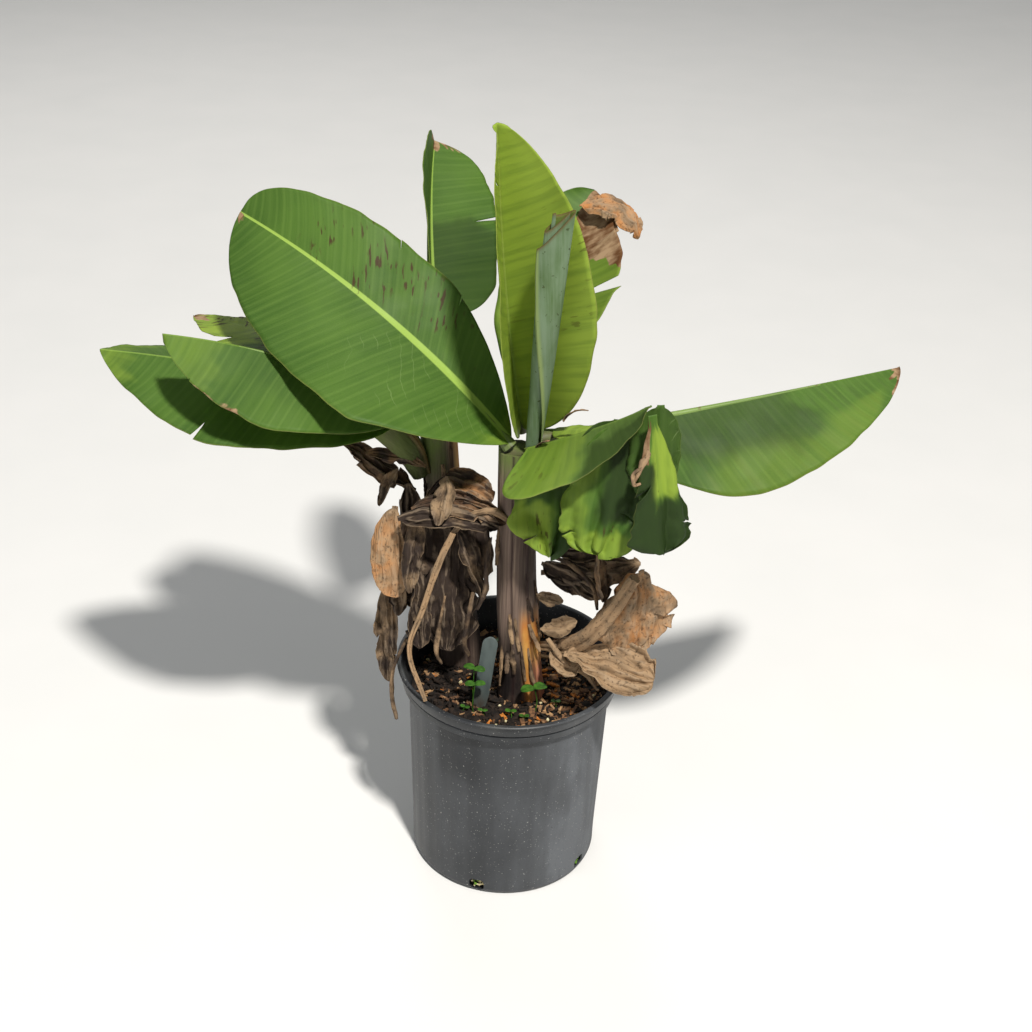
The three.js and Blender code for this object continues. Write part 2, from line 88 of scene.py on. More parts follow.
DROOPING_LEAF = {
    "drooping_leaf_lobe": Leaf((8, -30, 556), -32, 30, 9, -20, 6, 184, 29, -58,
                               (8, -30, 0, 0.4, 2, 2), (92, -44, 14, 0.16, 2.4, 1.15)),
    "drooping_leaf_segment_1": Leaf((33, -44, 566), -85, -74, 0, 5, 2, 118, 1, 0,
                                    (35, -8, 0, 0.6, 2.5, 2.0), (42, -8, 0, 0.66, 2.4, 1.3)),
    "drooping_leaf_segment_2": Leaf((98, -98, 624), -120, -79, 0, 0, 2, 139, 20, 0,
                                    (40, -8, 0, 0.6, 2.5, 3.3), (45, -8, 0, 0.7, 1.9, 3.0)),
    "drooping_leaf_segment_3": Leaf((127, -126, 650), -50, -77, 0, 0, 2, 144, -20, 0,
                                    (34, -8, 0, 0.9, 1.25, 1.8), (34, -8, 0, 0.9, 1.15, 2.2)),
}

# Sheets of the same torn leaf that hang behind its front strips; their shade marks paint the deep shadow they
# hang in.
DROOPING_BACK = {
    "drooping_leaf_hood": Leaf((136, -108, 652), -84, -80, -4, 0, 2, 112, 6, 0,
                               (26, -30, 30, 0.35, 1.7, 2.2), (30, -24, -20, 0.4, 1.8, 2.4)),
    "drooping_leaf_inner_sheet": Leaf((96, -84, 622), -96, -84, 0, 0, 2, 92, 0, 0,
                                      (38, -16, 20, 0.4, 2.2, 2.2), (38, -10, 0, 0.5, 2.2, 2.2)),
}

DEAD_LEAVES = {
    "dead_leaf_tip_rear": Leaf((54, 136, 762), -10, 35, -120, 0, 2, 85, 0, 0,
                               (22, -20, 0, 0.5, 2, 2), (24, -20, 0, 0.5, 2, 2)),
    "dead_leaf_left_tan": Leaf((-131, -10, 467), -88, -80, 0, 20, 2, 106, -11, 0,
                               (11, -8, 0, 0.68, 2, 2), (33, -8, 0, 0.49, 1.6, 1.8)),
    "dead_leaf_left_dark": Leaf((-112, 34, 462), 185, 37, 0, 0, 2, 97, 20, 0,
                                (16, 0, 0, 0.5, 2, 2), (14, 0, 0, 0.5, 2, 2)),
    "dead_leaf_rear_stem": Leaf((-67, 12, 504), -94, -81, 0, 4, 2, 218, 18, 0,
                                (45, -8, 0, 0.34, 2.7, 2.6), (49, -8, 0, 0.49, 2.3, 2.6)),
    "dead_leaf_between_stems": Leaf((-126, -34, 466), -2, 25, -55, 0, 2, 110, -50, 0,
                                    (16, -10, 0, 0.5, 2, 2), (20, -10, 0, 0.5, 2, 2)),
    "dead_leaf_over_rim": Leaf((-140, 12, 352), -96, -88, 0, 0, 2, 132, 0, 0,
                               (12, 0, 0, 0.4, 2, 2), (18, 0, 0, 0.35, 2, 2)),
    "dead_leaf_right_dark": Leaf((30, -20, 396), -10, 14, 2, 0, 8, 104, -40, 0,
                                 (18, 0, 0, 0.5, 2, 2), (30, 0, 0, 0.4, 2, 1.6)),
    "dead_leaf_right_upper": Leaf((135, -75, 440), -73, -88, -10, -12, 2, 110, 18, 0,
                                  (54, -8, 0, 0.58, 1.4, 1.4), (50, -8, 0, 0.63, 1.4, 2.1)),
    "dead_leaf_right_lower": Leaf((59, -66, 321), -20, 4, -12, 0, 2, 102, -37, -7,
                                  (28, 0, 0, 0.68, 1.6, 2.6), (31, 0, 0, 0.68, 1.4, 2.7)),
    "dead_leaf_right_crumpled": Leaf((44, -46, 318), -25, -8, 0, 0, 2, 46, -50, 0,
                                     (20, 0, 0, 0.5, 2, 2), (26, 0, 0, 0.5, 2, 2)),
    "dead_leaf_rear_cap": Leaf((-80, 2, 500), -15, -8, -24, 0, 2, 58, -35, 0,
                               (20, -10, 0, 0.5, 2, 2), (24, -10, 0, 0.5, 2, 2)),
    "dead_leaf_rear_flap": Leaf((-75, -18, 512), -104, -53, 0, 0, 2, 52, 0, 0,
                                (12, 0, 0, 0.5, 2, 2), (14, 0, 0, 0.5, 2, 2)),
    "dead_leaf_left_back": Leaf((-120, 22, 477), -39, -82, 0, 0, 2, 196, -44, 0,
                                (23, -8, 0, 0.45, 2, 2), (21, -8, 0, 0.6, 2, 2)),
    "dead_leaf_left_curl": Leaf((-131, 22, 496), -137, -55, 0, 0, 2, 44, 0, 0,
                                (8, 0, 0, 0.5, 2, 2), (10, 0, 0, 0.5, 2, 2)),
    "dead_leaf_right_pale": Leaf((32, -38, 333), -29, 31, 0, 0, 2, 50, -30, 0,
                                 (10, 0, 0, 0.5, 2, 2), (13, 0, 0, 0.5, 2, 2)),
    "dead_leaf_right_scrap": Leaf((26, -37, 379), -32, 5, 0, 0, 2, 32, -40, 0,
                                  (8, 0, 0, 0.5, 2, 2), (9, 0, 0, 0.5, 2, 2)),
}

# Dried pieces too small to have a part of their own.
DEAD_SCRAPS = {
    "scrap_arch_top": Leaf((-112, -22, 470), -6, 34, -74, 0, 2, 108, -62, 0,
                           (15, -10, 20, 0.5, 2, 2), (19, -10, 20, 0.5, 2, 2)),
    "scrap_left_fold": Leaf((-104, -26, 470), -112, -72, -10, 0, 2, 92, 24, 40,
                            (14, -20, 30, 0.5, 2, 2), (12, -20, 20, 0.5, 2, 2)),
    "scrap_left_low": Leaf((-104, -20, 400), -70, -80, -8, 0, 2, 104, -10, 30,
                           (15, -20, 30, 0.5, 2, 2), (17, -20, 30, 0.6, 2, 2)),
    "scrap_rim_lobe": Leaf((-124, 2, 392), -104, -66, -20, 0, 2, 66, 12, 0,
                           (13, -20, 40, 0.5, 2, 2), (14, -20, 30, 0.5, 2, 2)),
    "scrap_high_left": Leaf((-100, 22, 500), 176, 24, -30, 0, 2, 66, 50, 0,
                            (9, -10, 30, 0.5, 2, 2), (9, -10, 20, 0.5, 2, 2)),
    "scrap_right_dark_low": Leaf((30, -26, 412), -22, -8, -24, 0, 2, 74, -66, 0,
                                 (17, -10, 20, 0.5, 2, 2), (17, -10, 20, 0.5, 2, 2)),
    "scrap_right_hang": Leaf((88, -58, 452), -60, -70, 0, 0, 2, 56, 10, 0,
                             (12, -10, 30, 0.5, 2, 2), (14, -10, 30, 0.5, 2, 2)),
    "scrap_behind_right": Leaf((44, -30, 428), -20, 22, 0, 0, 2, 84, -60, 0,
                               (12, 0, 0, 0.5, 2, 2), (14, 0, 0, 0.5, 2, 2)),
    "scrap_in_crown": Leaf((17, -38, 560), -50, 62, -40, 0, 2, 26, 0, 0,
                           (4, 0, 0, 0.5, 2, 2), (4, 0, 0, 0.5, 2, 2)),
    "scrap_on_roll": Leaf((44, -42, 596), -30, 66, -60, 0, 2, 34, 20, 0,
                          (5, 0, 0, 0.5, 2, 2), (5, 0, 0, 0.5, 2, 2)),
    "scrap_under_arch": Leaf((-62, -26, 452), -10, -62, -20, 0, 2, 92, -30, 0,
                             (12, 0, 0, 0.5, 2, 2), (13, 0, 0, 0.5, 2, 2)),
}

# Scraps that start at or left of this place are joined apart from the rest.
SCRAPS_SPLIT = -100

# Dried ribbons: places along the middle, width, way it faces, curl across, and share of tan.
RIBBONS = {
    "arch_edge": ([(-67, -30, 448), (-53, -34, 467), (-39, -36, 478), (-25, -36, 480),
                   (-9, -33, 470)], 7, -70, 1.2, 0.62),
    "torn_strip": ([(127, -130, 623), (125, -135, 611), (119, -140, 598), (113, -141, 582)],
                   9, -90, 2.2, 0.85),
    "torn_strip_curl": ([(121, -139, 600), (112, -144, 594), (113, -147, 584), (120, -143, 583)],
                        6, -90, 2.6, 0.6),
    "left_strand_high": ([(-26, -42, 452), (-29, -48, 420), (-30, -50, 392), (-38, -54, 366)],
                         8, -80, 2.8, 0.16),
    "left_strand_low": ([(-44, -48, 384), (-49, -54, 352), (-52, -54, 322), (-46, -52, 302)],
                        9, -100, 2.8, 0.22),
    "left_strand_tan": ([(-74, -38, 372), (-80, -44, 330), (-82, -46, 300), (-76, -44, 284)],
                        8, -110, 2.8, 0.55),
    "rim_strand": ([(-118, -20, 300), (-132, -32, 268), (-134, -38, 232), (-128, -40, 200)],
                   7, -110, 2.4, 0.45),
    "right_strand": ([(40, -40, 430), (66, -52, 424), (86, -58, 404), (92, -62, 378)],
                     8, -80, 2.6, 0.3),
    "right_low_strand": ([(40, -52, 330), (62, -64, 306), (84, -70, 296), (98, -76, 280)],
                         9, -90, 2.4, 0.7),
}

# What each green leaf shows: wave is the height of its margin's waves, rib is how much its midrib
# stands out, tears are (side, place along the blade, depth in from the margin, gap, lift), and
# marks are (kind, from, to along the blade, from, to across it, strength).
Look = namedtuple("Look", "wave rib tears marks")

# A shade mark is painted shade: dark green laid where a blade lies in shadow.
GREEN_LOOKS = {
    "big_left_leaf": Look(2.5, 1.0, [(1, 0.30, 0.10, 1.5, 2), (1, 0.47, 0.08, 1.0, -2)], [
        ("spots", 0.20, 0.80, 0.10, 1.0, 1.0), ("scratch", 0.04, 0.55, -0.75, -0.05, 0.4),
        ("dead", 0.975, 1.2, -0.5, 0.3, 0.7), ("yellow", -0.1, 0.05, -1, 1, 0.4)]),
    # Its yellow over the whole blade is painted sunlight: the yellow-green glow of the lit, backlit blade.
    "tall_upright_leaf": Look(1.5, 0.45, [(-1, 0.80, 0.9, 6, 0)], [
        ("yellow", -0.1, 1.2, -1.2, 1.2, 1.15), ("spots", 0.45, 0.8, 0.55, 1.0, 0.5),
        ("spots", 0.15, 0.5, 0.0, 0.5, 0.3), ("line", 0.40, 1.0, -0.02, 0.02, 0.8)]),
    "right_rear_leaf": Look(5, 0.5, [(1, 0.50, 0.75, 9, 5), (1, 0.70, 0.6, 5, -5),
                                     (-1, 0.6, 0.5, 5, 4)], [
        ("dead", 0.62, 1.2, -0.2, 1.2, 0.9), ("yellow", 0.2, 0.75, -1, 1.1, 0.5)]),
    # Its shade mark is a painted shadow of the tall upright leaf over the lower right of the blade.
    "rear_upright_leaf": Look(3, 0.8, [(1, 0.62, 0.25, 2, 3)], [
        ("dead", 0.965, 1.2, -1, 0.9, 0.8), ("shade", -0.1, 0.52, -0.1, 1.2, 0.55)]),
    "left_upper_leaf": Look(2.5, 0.4, [(-1, 0.80, 0.06, 3, 1)], [
        ("dead", 0.74, 0.84, -1.1, -0.93, 0.9), ("yellow", 0.8, 1.1, -1.1, 1.1, 0.2)]),
    "left_lower_leaf": Look(4, 0.5, [(-1, 0.55, 0.18, 2.5, 3)], [
        ("yellow", 0.9, 1.1, -1.1, 1.1, 0.35)]),
    "spotted_left_leaf": Look(4, 0.5, [(-1, 0.66, 0.3, 3, 3)], [
        ("yellow", 0.62, 1.2, -1.2, 1.2, 0.9), ("spots", 0.50, 1.2, -1.2, 1.2, 1.2),
        ("dead", 0.93, 1.2, -1.2, 1.2, 0.8)]),
    # Its shade mark paints shade over the middle of the blade.
    "long_right_leaf": Look(4, 0.2, [(1, 0.18, 0.22, 3, 5)], [
        ("dead", 0.975, 1.2, -1.2, 1.2, 1.0), ("bands", 0.1, 0.95, 0.1, 1.0, 0.35),
        ("shade", 0.0, 0.62, -1.2, 0.62, 0.50),
        ("yellow", 0.3, 0.9, 0.5, 1.1, 0.25)]),
    "small_yellow_leaf": Look(1.5, 0.3, [], [("yellow", 0.0, 1.1, -1.1, 1.1, 0.8)]),
}

# The strips torn from the drooping leaf have no midrib; their veins run down them. Their shade marks
# are painted shadow cast by the lobe above, and their yellow marks are painted sunlight on the faces
# turned to the lamp, over some real yellowing.
DROOPING_LOOKS = {
    "drooping_leaf_lobe": Look(2, 0.25, [], [
        ("yellow", 0.0, 0.45, -0.1, 1.1, 0.45), ("pale", 0.3, 1.0, -1, 1.1, 0.4),
        ("spots", 0.0, 0.3, 0.3, 1.0, 0.4), ("shade", 0.50, 1.1, 0.30, 1.2, 0.65)]),
    "drooping_leaf_segment_1": Look(3, 0, [(1, 0.72, 0.5, 4, 4)], [
        ("yellow", 0.50, 1.1, 0.0, 1.2, 0.9), ("shade", 0.0, 0.48, -1.2, 1.2, 0.6),
        ("shade", 0.3, 1.2, -1.2, -0.25, 0.75), ("spots", 0.6, 1.1, -0.2, 1.0, 0.8)]),
    "drooping_leaf_segment_2": Look(4, 0, [(-1, 0.6, 0.5, 4, -4), (1, 0.8, 0.3, 3, 3)], [
        ("yellow", 0.30, 1.1, 0.35, 1.2, 0.5), ("yellow", 0.84, 1.1, -1, 1.2, 0.8),
        ("spots", 0.75, 1.1, -0.8, 1.1, 0.8), ("shade", 0.0, 0.74, -1.2, 0.15, 0.85)]),
    "drooping_leaf_segment_3": Look(4, 0, [(1, 0.45, 0.6, 5, 5), (-1, 0.7, 0.3, 3, 3)], [
        ("dead", 0.05, 0.36, 0.5, 1.2, 0.9), ("yellow", 0.10, 0.60, -1.2, 0.3, 0.9),
        ("spots", 0.3, 0.62, -1.1, 0.2, 0.8), ("shade", 0.62, 1.2, -1.2, 1.2, 0.9),
        ("shade", 0.34, 1.2, 0.2, 1.2, 0.9)]),
    "drooping_leaf_hood": Look(3, 0, [(1, 0.6, 0.3, 3, 3)], [
        ("shade", 0.0, 1.1, -1.2, 1.2, 0.45), ("dead", 0.93, 1.2, -1.2, 1.2, 0.9),
        ("scratch", 0.1, 0.6, -1, 1, 0.8)]),
    "drooping_leaf_inner_sheet": Look(4, 0, [(-1, 0.7, 0.4, 4, 3)], [
        ("shade", 0.0, 1.1, -1.2, 1.2, 0.7), ("scratch", 0.1, 0.9, -1, 1, 1.0),
        ("yellow", 0.8, 1.1, -1, 1, 0.5)]),
}

# Dried leaves: long folds across the blade, height of slow bends, curl of the margins, bites out
# of the margins, slits, share of tan and orange tint.
DeadLook = namedtuple("DeadLook", "folds bend curl bites slits tan orange")

DEAD_LOOKS = {
    "dead_leaf_tip_rear": DeadLook(3, 5, 6, 3, 2, 0.75, 0.6),
    "dead_leaf_left_tan": DeadLook(2, 7, 4, 1, 0, 1.1, 0.45),
    "dead_leaf_left_dark": DeadLook(3, 6, 6, 3, 1, 0.22, 0.1),
    "dead_leaf_rear_stem": DeadLook(6, 14, 10, 8, 5, 0.0, 0.0),
    "dead_leaf_between_stems": DeadLook(3, 9, 8, 4, 2, 0.03, 0.0),
    "dead_leaf_over_rim": DeadLook(3, 6, 6, 4, 1, 0.25, 0.0),
    "dead_leaf_right_dark": DeadLook(4, 6, 8, 4, 1, 0.32, 0.0),
    "dead_leaf_right_upper": DeadLook(4, 7, 9, 3, 2, 0.85, 0.50),
    "dead_leaf_right_lower": DeadLook(5, 5, 6, 3, 1, 0.86, 0.05),
    "dead_leaf_right_crumpled": DeadLook(6, 6, 6, 2, 1, 0.85, 0.0),
    "dead_leaf_rear_cap": DeadLook(4, 5, 7, 2, 1, 0.30, 0.35),
    "dead_leaf_rear_flap": DeadLook(2, 4, 6, 2, 1, 0.40, 0.0),
    "dead_leaf_left_back": DeadLook(4, 7, 8, 4, 2, 0.12, 0.0),
    "dead_leaf_left_curl": DeadLook(2, 4, 7, 1, 0, 0.42, 0.1),
    "dead_leaf_right_pale": DeadLook(3, 5, 6, 2, 1, 0.95, 0.0),
    "dead_leaf_right_scrap": DeadLook(2, 4, 5, 2, 0, 0.70, 0.0),
    "scrap_arch_top": DeadLook(3, 7, 7, 4, 2, 0.10, 0.15),
    "scrap_left_fold": DeadLook(2, 6, 7, 2, 1, 0.15, 0.0),
    "scrap_left_low": DeadLook(3, 8, 8, 3, 1, 0.10, 0.0),
    "scrap_rim_lobe": DeadLook(2, 5, 6, 3, 1, 0.35, 0.0),
    "scrap_high_left": DeadLook(2, 4, 5, 2, 1, 0.30, 0.2),
    "scrap_right_dark_low": DeadLook(3, 6, 8, 3, 1, 0.25, 0.0),
    "scrap_right_hang": DeadLook(3, 5, 7, 3, 1, 0.35, 0.15),
    "scrap_behind_right": DeadLook(3, 5, 7, 3, 1, 0.18, 0.0),
    "scrap_in_crown": DeadLook(1, 2, 3, 1, 0, 0.45, 0.5),
    "scrap_on_roll": DeadLook(1, 2, 3, 1, 0, 0.50, 0.3),
    "scrap_under_arch": DeadLook(3, 6, 7, 3, 1, 0.12, 0.0),
}

# Steps in which a midrib is worked out, half width of a large leaf's stalk, midrib half widths
# at which a blade has its whole fold, and how far the lateral veins slant towards the tip.
MIDRIB_STEPS = 240
STALK_HALF = 4.5
FOLD_START = 3
VEIN_SLANT = 0.13

# Rows along and columns across a blade, and the lengths above which it takes the finer grid.
LARGE_GREEN_GRID = (150, 52)
SMALL_GREEN_GRID = (64, 32)
LARGE_GREEN_LENGTH = 150
LARGE_DEAD_GRID = (120, 88)
SMALL_DEAD_GRID = (64, 48)
LARGE_DEAD_LENGTH = 80

# Drain holes round the foot of the pot, and where the first one faces.
DRAIN_HOLES = 5
FIRST_HOLE = -105
HOLE_REACH, HOLE_HEIGHT = 0.107, 0.0115
HOLE_SIZE = (0.02, 0.018, 0.015)

# The mix, in metres: its height in the middle, how far it drops towards the wall, and where that
# drop starts and ends. Seedlings start a little below its surface, in millimetres.
MIX_TOP = 0.228
MIX_EDGE_DROP = 0.005
MIX_FLAT_RADIUS = 0.098
MIX_RADIUS = 0.113
SEEDLING_FOOT = 224

# ------------------------------------------------------------------------------- stem sizes
MAIN_STEM = ([(14, -14, 228), (3, -13, 387), (-2, -12, 546)], [25, 21.5, 20])
REAR_STEM = ([(-58, 48, 228), (-77, 51, 388), (-90, 54, 548)], [26, 21.5, 19])
REAR_SHEATH = ([(-106, 40, 480), (-122, 36, 515), (-150, 34, 548)], [10, 16, 18])
NEW_LEAF = ([(14, -24, 552), (18, -44, 630), (22, -72, 730), (29, -100, 846)], [8, 12, 15, 16])
LEFT_STALK = ([(-66, -46, 458), (-80, -52, 426), (-96, -62, 372), (-110, -78, 325),
               (-91, -96, 271)], [3, 3.4, 3, 2.6, 2])
RIGHT_STALK = ([(34, -26, 302), (64, -52, 322), (94, -80, 368), (127, -92, 440)], [5, 9, 10, 6])


# ------------------------------------------------------------------------------------ colours
def linear(hex_colour):
    """A hex sRGB colour as linear red, green, blue and full alpha."""
    parts = [int(hex_colour[i:i + 2], 16) / 255 for i in (1, 3, 5)]
    return tuple(c / 12.92 if c <= 0.04045 else ((c + 0.055) / 1.055) ** 2.4
                 for c in parts) + (1.0,)


def colour_prop(name, description, hex_colour):
    return bpy.props.FloatVectorProperty(
        name=name, description=description, default=linear(hex_colour),
        subtype='COLOR', size=4, min=0.0, max=1.0)


def length_prop(name, description, default):
    return bpy.props.FloatProperty(
        name=name, description=description, default=default, min=0.0, unit='LENGTH')


class PlantSizes(bpy.types.PropertyGroup):
    """Sizes of the living and dried parts."""
    blade_thickness: length_prop("Blade thickness", "Thickness of a green leaf blade", 0.0007)
    midrib_width: length_prop("Midrib width", "Width of a large leaf's midrib at its base", 0.009)
    midrib_depth: length_prop("Midrib depth", "How far a midrib stands out below its blade", 0.0055)
    vein_spacing: length_prop("Vein spacing", "Distance between main lateral veins", 0.010)
    vein_height: length_prop("Vein height", "Ripple of the blade between lateral veins", 0.00012)
    dead_thickness: length_prop("Dried blade thickness", "Thickness of a dried leaf", 0.0006)
    strand_count: bpy.props.IntProperty(
        name="Loose strands", description="Dried threads and shreds on the stems",
        default=34, min=0, max=200)
    seed: bpy.props.IntProperty(name="Seed", description="Seed of every scatter", default=7)


class PotSizes(bpy.types.PropertyGroup):
    """Sizes of the nursery pot and what lies in it."""
    rim_radius: length_prop("Rim radius", "Outer radius of the rim", 0.130)
    height: length_prop("Height", "Height of the pot", 0.265)
    wall: length_prop("Wall", "Thickness of the moulded wall", 0.003)
    panel_count: bpy.props.IntProperty(
        name="Panels", description="Flat upright panels around the body", default=30, min=8)
    chip_count: bpy.props.IntProperty(
        name="Bark chips", description="Chips lying on the mix", default=1900, min=0)
    label_length: length_prop("Label length", "Length of the plant label above the mix", 0.092)
    label_width: length_prop("Label width", "Width of the plant label", 0.017)


class PlantColours(bpy.types.PropertyGroup):
    """Main colours, as sRGB paints turned to linear."""
    leaf_deep: colour_prop("Leaf deep", "Deeper green of a blade", "#38571e")
    leaf_light: colour_prop("Leaf light", "Lighter green of a blade", "#4c6c27")
    leaf_under: colour_prop("Leaf underside", "Waxy green of the underside", "#5f7a3c")
    # Leaf yellow is real ageing tissue, and also painted sunlight on the tall upright leaf and the torn
    # strips.
    leaf_yellow: colour_prop("Leaf yellow", "Ageing yellow-green tissue", "#93ac3e")
    midrib: colour_prop("Midrib", "Pale midrib", "#8aa648")
    new_leaf: colour_prop("New leaf", "Wax-bloomed rolled leaf", "#708667")
    dead_dark: colour_prop("Dried dark", "Dark weathered dried tissue", "#352b25")
    dead_tan: colour_prop("Dried tan", "Pale dried tissue", "#9e8466")
    dead_orange: colour_prop("Dried orange", "Freshly dried orange tissue", "#b27a48")
    sheath: colour_prop("Sheath", "Grey-brown dried leaf sheath", "#79665a")
    pot: colour_prop("Pot", "Black polypropylene under dust", "#1d1f22")
    dust: colour_prop("Dust", "Pale dust on the pot", "#606367")
    # The label colour is a dark grey that paints the shade over a grey-white label.
    label: colour_prop("Label", "Grey-white label plastic", "#525c5a")


class StageSettings(bpy.types.PropertyGroup):
    """Camera, light and floor."""
    lens: bpy.props.FloatProperty(name="Lens", description="Focal length", default=56, min=1)
    distance: length_prop("Distance", "Camera to the plant's middle", 1.75)
    elevation: bpy.props.FloatProperty(
        name="Elevation", description="Camera height angle", default=np.radians(31),
        subtype='ANGLE')
    roll: bpy.props.FloatProperty(
        name="Roll", description="Camera roll", default=np.radians(2.4), subtype='ANGLE')
    key_power: bpy.props.FloatProperty(
        name="Key power", description="Main soft light", default=520, unit='POWER')
    sky: bpy.props.FloatProperty(
        name="Surround", description="Strength of the even surround light", default=0.26)


# ------------------------------------------------------------------------------ small helpers
def smooth(x, low, high):
    """0 below low, 1 above high, eased between."""
    k = np.clip((np.asarray(x, float) - low) / (high - low), 0, 1)
    return k * k * (3 - 2 * k)


def fractal(points, scale, seed, octaves=3):
    """Fractal noise of about -1 to 1 at each point; scale is the size of its largest lumps."""
    shift = Vector((seed * 7.31, seed * 3.17, seed * 5.77))
    return np.array([noise.fractal(Vector(p) / scale + shift, 1.0, 2.0, octaves)
                     for p in points])


def on_sheet(a, b=0.0):
    """Noise places on a flat sheet, from one or two arrays of coordinates."""
    return np.stack([a, b + 0 * a, 0 * a], 1)


def on_ring(around, along, spread, stretch):
    """Noise places round a limb, so that a pattern closes on itself; around is 0 to 1."""
    angle = 2 * np.pi * around
    return np.stack([np.cos(angle) * spread, np.sin(angle) * spread, along * stretch], 1)


def ridges(points, scale, seed, octaves=3):
    """Sharp-creased noise, 1 on its ridges and about 0 in its hollows."""
    return np.clip(1 - np.abs(fractal(points, scale, seed, octaves)) * 2.2, 0, 1)


def only(piece):
    """Makes one piece the only selected object and the active one."""
    bpy.ops.object.select_all(action='DESELECT')
    piece.select_set(True)
    bpy.context.view_layer.objects.active = piece


def places(piece):
    data = np.empty(len(piece.data.vertices) * 3)
    piece.data.vertices.foreach_get("co", data)
    return data.reshape(-1, 3)


def set_places(piece, data):
    piece.data.vertices.foreach_set("co", np.ascontiguousarray(data, dtype=np.float64).ravel())
    piece.data.update()


def paint(piece, name, *channels):
    """Stores up to four 0 to 1 channels on the corners of the mesh."""
    count = len(piece.data.vertices)
    rgba = np.zeros((count, 4), np.float32)
    for index, channel in enumerate(channels):
        rgba[:, index] = channel
    layer = piece.data.color_attributes.new(name, 'FLOAT_COLOR', 'POINT')
    layer.data.foreach_set("color", rgba.ravel())


def set_uv(piece, along, across):
    corners = np.empty(len(piece.data.loops), np.int32)
    piece.data.loops.foreach_get("vertex_index", corners)
    uv = np.stack([along, across], 1)[corners]
    piece.data.uv_layers[0].data.foreach_set("uv", uv.astype(np.float32).ravel())


def flat_grid(name, rows, columns):
    """A flat two by two grid, and the x and y of its corners."""
    bpy.ops.object.select_all(action='DESELECT')
    bpy.ops.mesh.primitive_grid_add(x_subdivisions=rows, y_subdivisions=columns, size=2,
                                    location=(0, 0, 0))
    piece = bpy.context.object
    piece.name = piece.data.name = name
    co = places(piece)
    return piece, co[:, 0].copy(), co[:, 1].copy()


def apply_modifier(piece, kind, **settings):
    only(piece)
    modifier = piece.modifiers.new(kind.title(), kind)
    for key, value in settings.items():
        setattr(modifier, key, value)
    bpy.ops.object.modifier_apply(modifier=modifier.name)


def shade(piece, angle=None):
    only(piece)
    if angle is None:
        bpy.ops.object.shade_smooth()
    else:
        bpy.ops.object.shade_smooth_by_angle(angle=np.radians(angle))


def join(name, pieces):
    only(pieces[0])
    for piece in pieces:
        piece.select_set(True)
    bpy.context.view_layer.objects.active = pieces[0]
    if len(pieces) > 1:
        bpy.ops.object.join()
    piece = bpy.context.object
    piece.name = piece.data.name = name
    return piece


def hand_over(piece, material, slot, *nodes):
    """Gives a finished piece its material and body, and hides the CAD nodes it stands for. The slot is not
    used.
    """
    piece.data.materials.clear()
    piece.data.materials.append(material)
    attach(piece, BODY)
    if nodes:
        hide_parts(*nodes)
    return piece


# ---------------------------------------------------------------------------- leaf form
def outline(s, widest, base_blunt, tip_blunt):
    """Share of the full half width at each place along a blade."""
    before = s < widest
    off = np.where(before, 1 - s / widest, (s - widest) / (1 - widest))
    blunt = np.where(before, base_blunt, tip_blunt)
    return np.maximum(0, 1 - np.clip(off, 0, 1) ** blunt) ** (1 / blunt)


def midrib_line(leaf):
    """Places along the midrib with side and upward directions, in millimetres."""
    u = np.linspace(0, 1, MIDRIB_STEPS + 1)
    heading = np.radians(leaf.heading + leaf.sway * u)
    climb = np.radians(leaf.climb + leaf.bend * u)
    ahead = np.stack([np.cos(climb) * np.cos(heading), np.cos(climb) * np.sin(heading),
                      np.sin(climb)], 1)
    steps = (ahead[1:] + ahead[:-1]) * (leaf.stalk + leaf.length) / MIDRIB_STEPS / 2
    point = np.array(leaf.base, float) + np.vstack([np.zeros(3), np.cumsum(steps, 0)])
    side = np.stack([np.sin(heading), -np.cos(heading), 0 * u], 1)
    turn = -np.radians(leaf.roll + leaf.twist * u)[:, None]
    side = side * np.cos(turn) + np.cross(ahead, side) * np.sin(turn)
    return u, point, side, np.cross(side, ahead)


def at(u, stations, values):
    return np.stack([np.interp(u, stations, values[:, axis]) for axis in range(3)], 1)


def cross_section(t, fold, curl):
    """Reach sideways and upwards along a folded and curled half, in shares of its width."""
    curl = np.where(np.abs(curl) < 1e-4, 1e-4, curl)
    end = fold + curl * t
    return (np.sin(end) - np.sin(fold)) / curl, (np.cos(fold) - np.cos(end)) / curl


def blade_form(leaf, q, t, stretch=None, tip=1.0):
    """Points, upward directions, half widths and places along the blade, for q along the whole
    leaf and t across it. stretch widens or narrows the outline; tip is the half tip width."""
    start = leaf.stalk / (leaf.stalk + leaf.length)
    s = np.clip((q - start) / (1 - start), 0, 1)
    s = s + VEIN_SLANT * np.abs(t) * 4 * s * (1 - s)
    u = np.where(q < start, q, start + s * (1 - start))
    stations, point, side, up = midrib_line(leaf)
    point, side, up = (at(u, stations, values) for values in (point, side, up))
    left = t < 0
    width, fold, curl, widest, base_blunt, tip_blunt = (
        np.where(left, a, b) for a, b in zip(leaf.left, leaf.right))
    share = outline(s, widest, base_blunt, tip_blunt)
    if stretch is not None:
        share = share * stretch
    rib = min(STALK_HALF, leaf.length / 30)
    narrow = rib * (1 - smooth(s, 0.6, 1.0)) + tip * smooth(s, 0.6, 1.0)
    half = np.maximum(narrow, width * share)
    unfold = np.minimum(1, half / (FOLD_START * rib))
    fold, curl = np.radians(fold * unfold), np.radians(curl * unfold)
    across, rise = cross_section(np.abs(t), fold, curl)
    angle = (fold + curl * np.abs(t)) * np.sign(t)
    place = (point + side * (np.sign(t) * half * across)[:, None]
             + up * (half * rise)[:, None])
    normal = side * -np.sin(angle)[:, None] + up * np.cos(angle)[:, None]
    return place, normal, half, s


def mix_height(radius):
    """Height of the potting mix at a distance from the middle of the pot, in metres."""
    return MIX_TOP - MIX_EDGE_DROP * smooth(radius, MIX_FLAT_RADIUS, MIX_RADIUS)


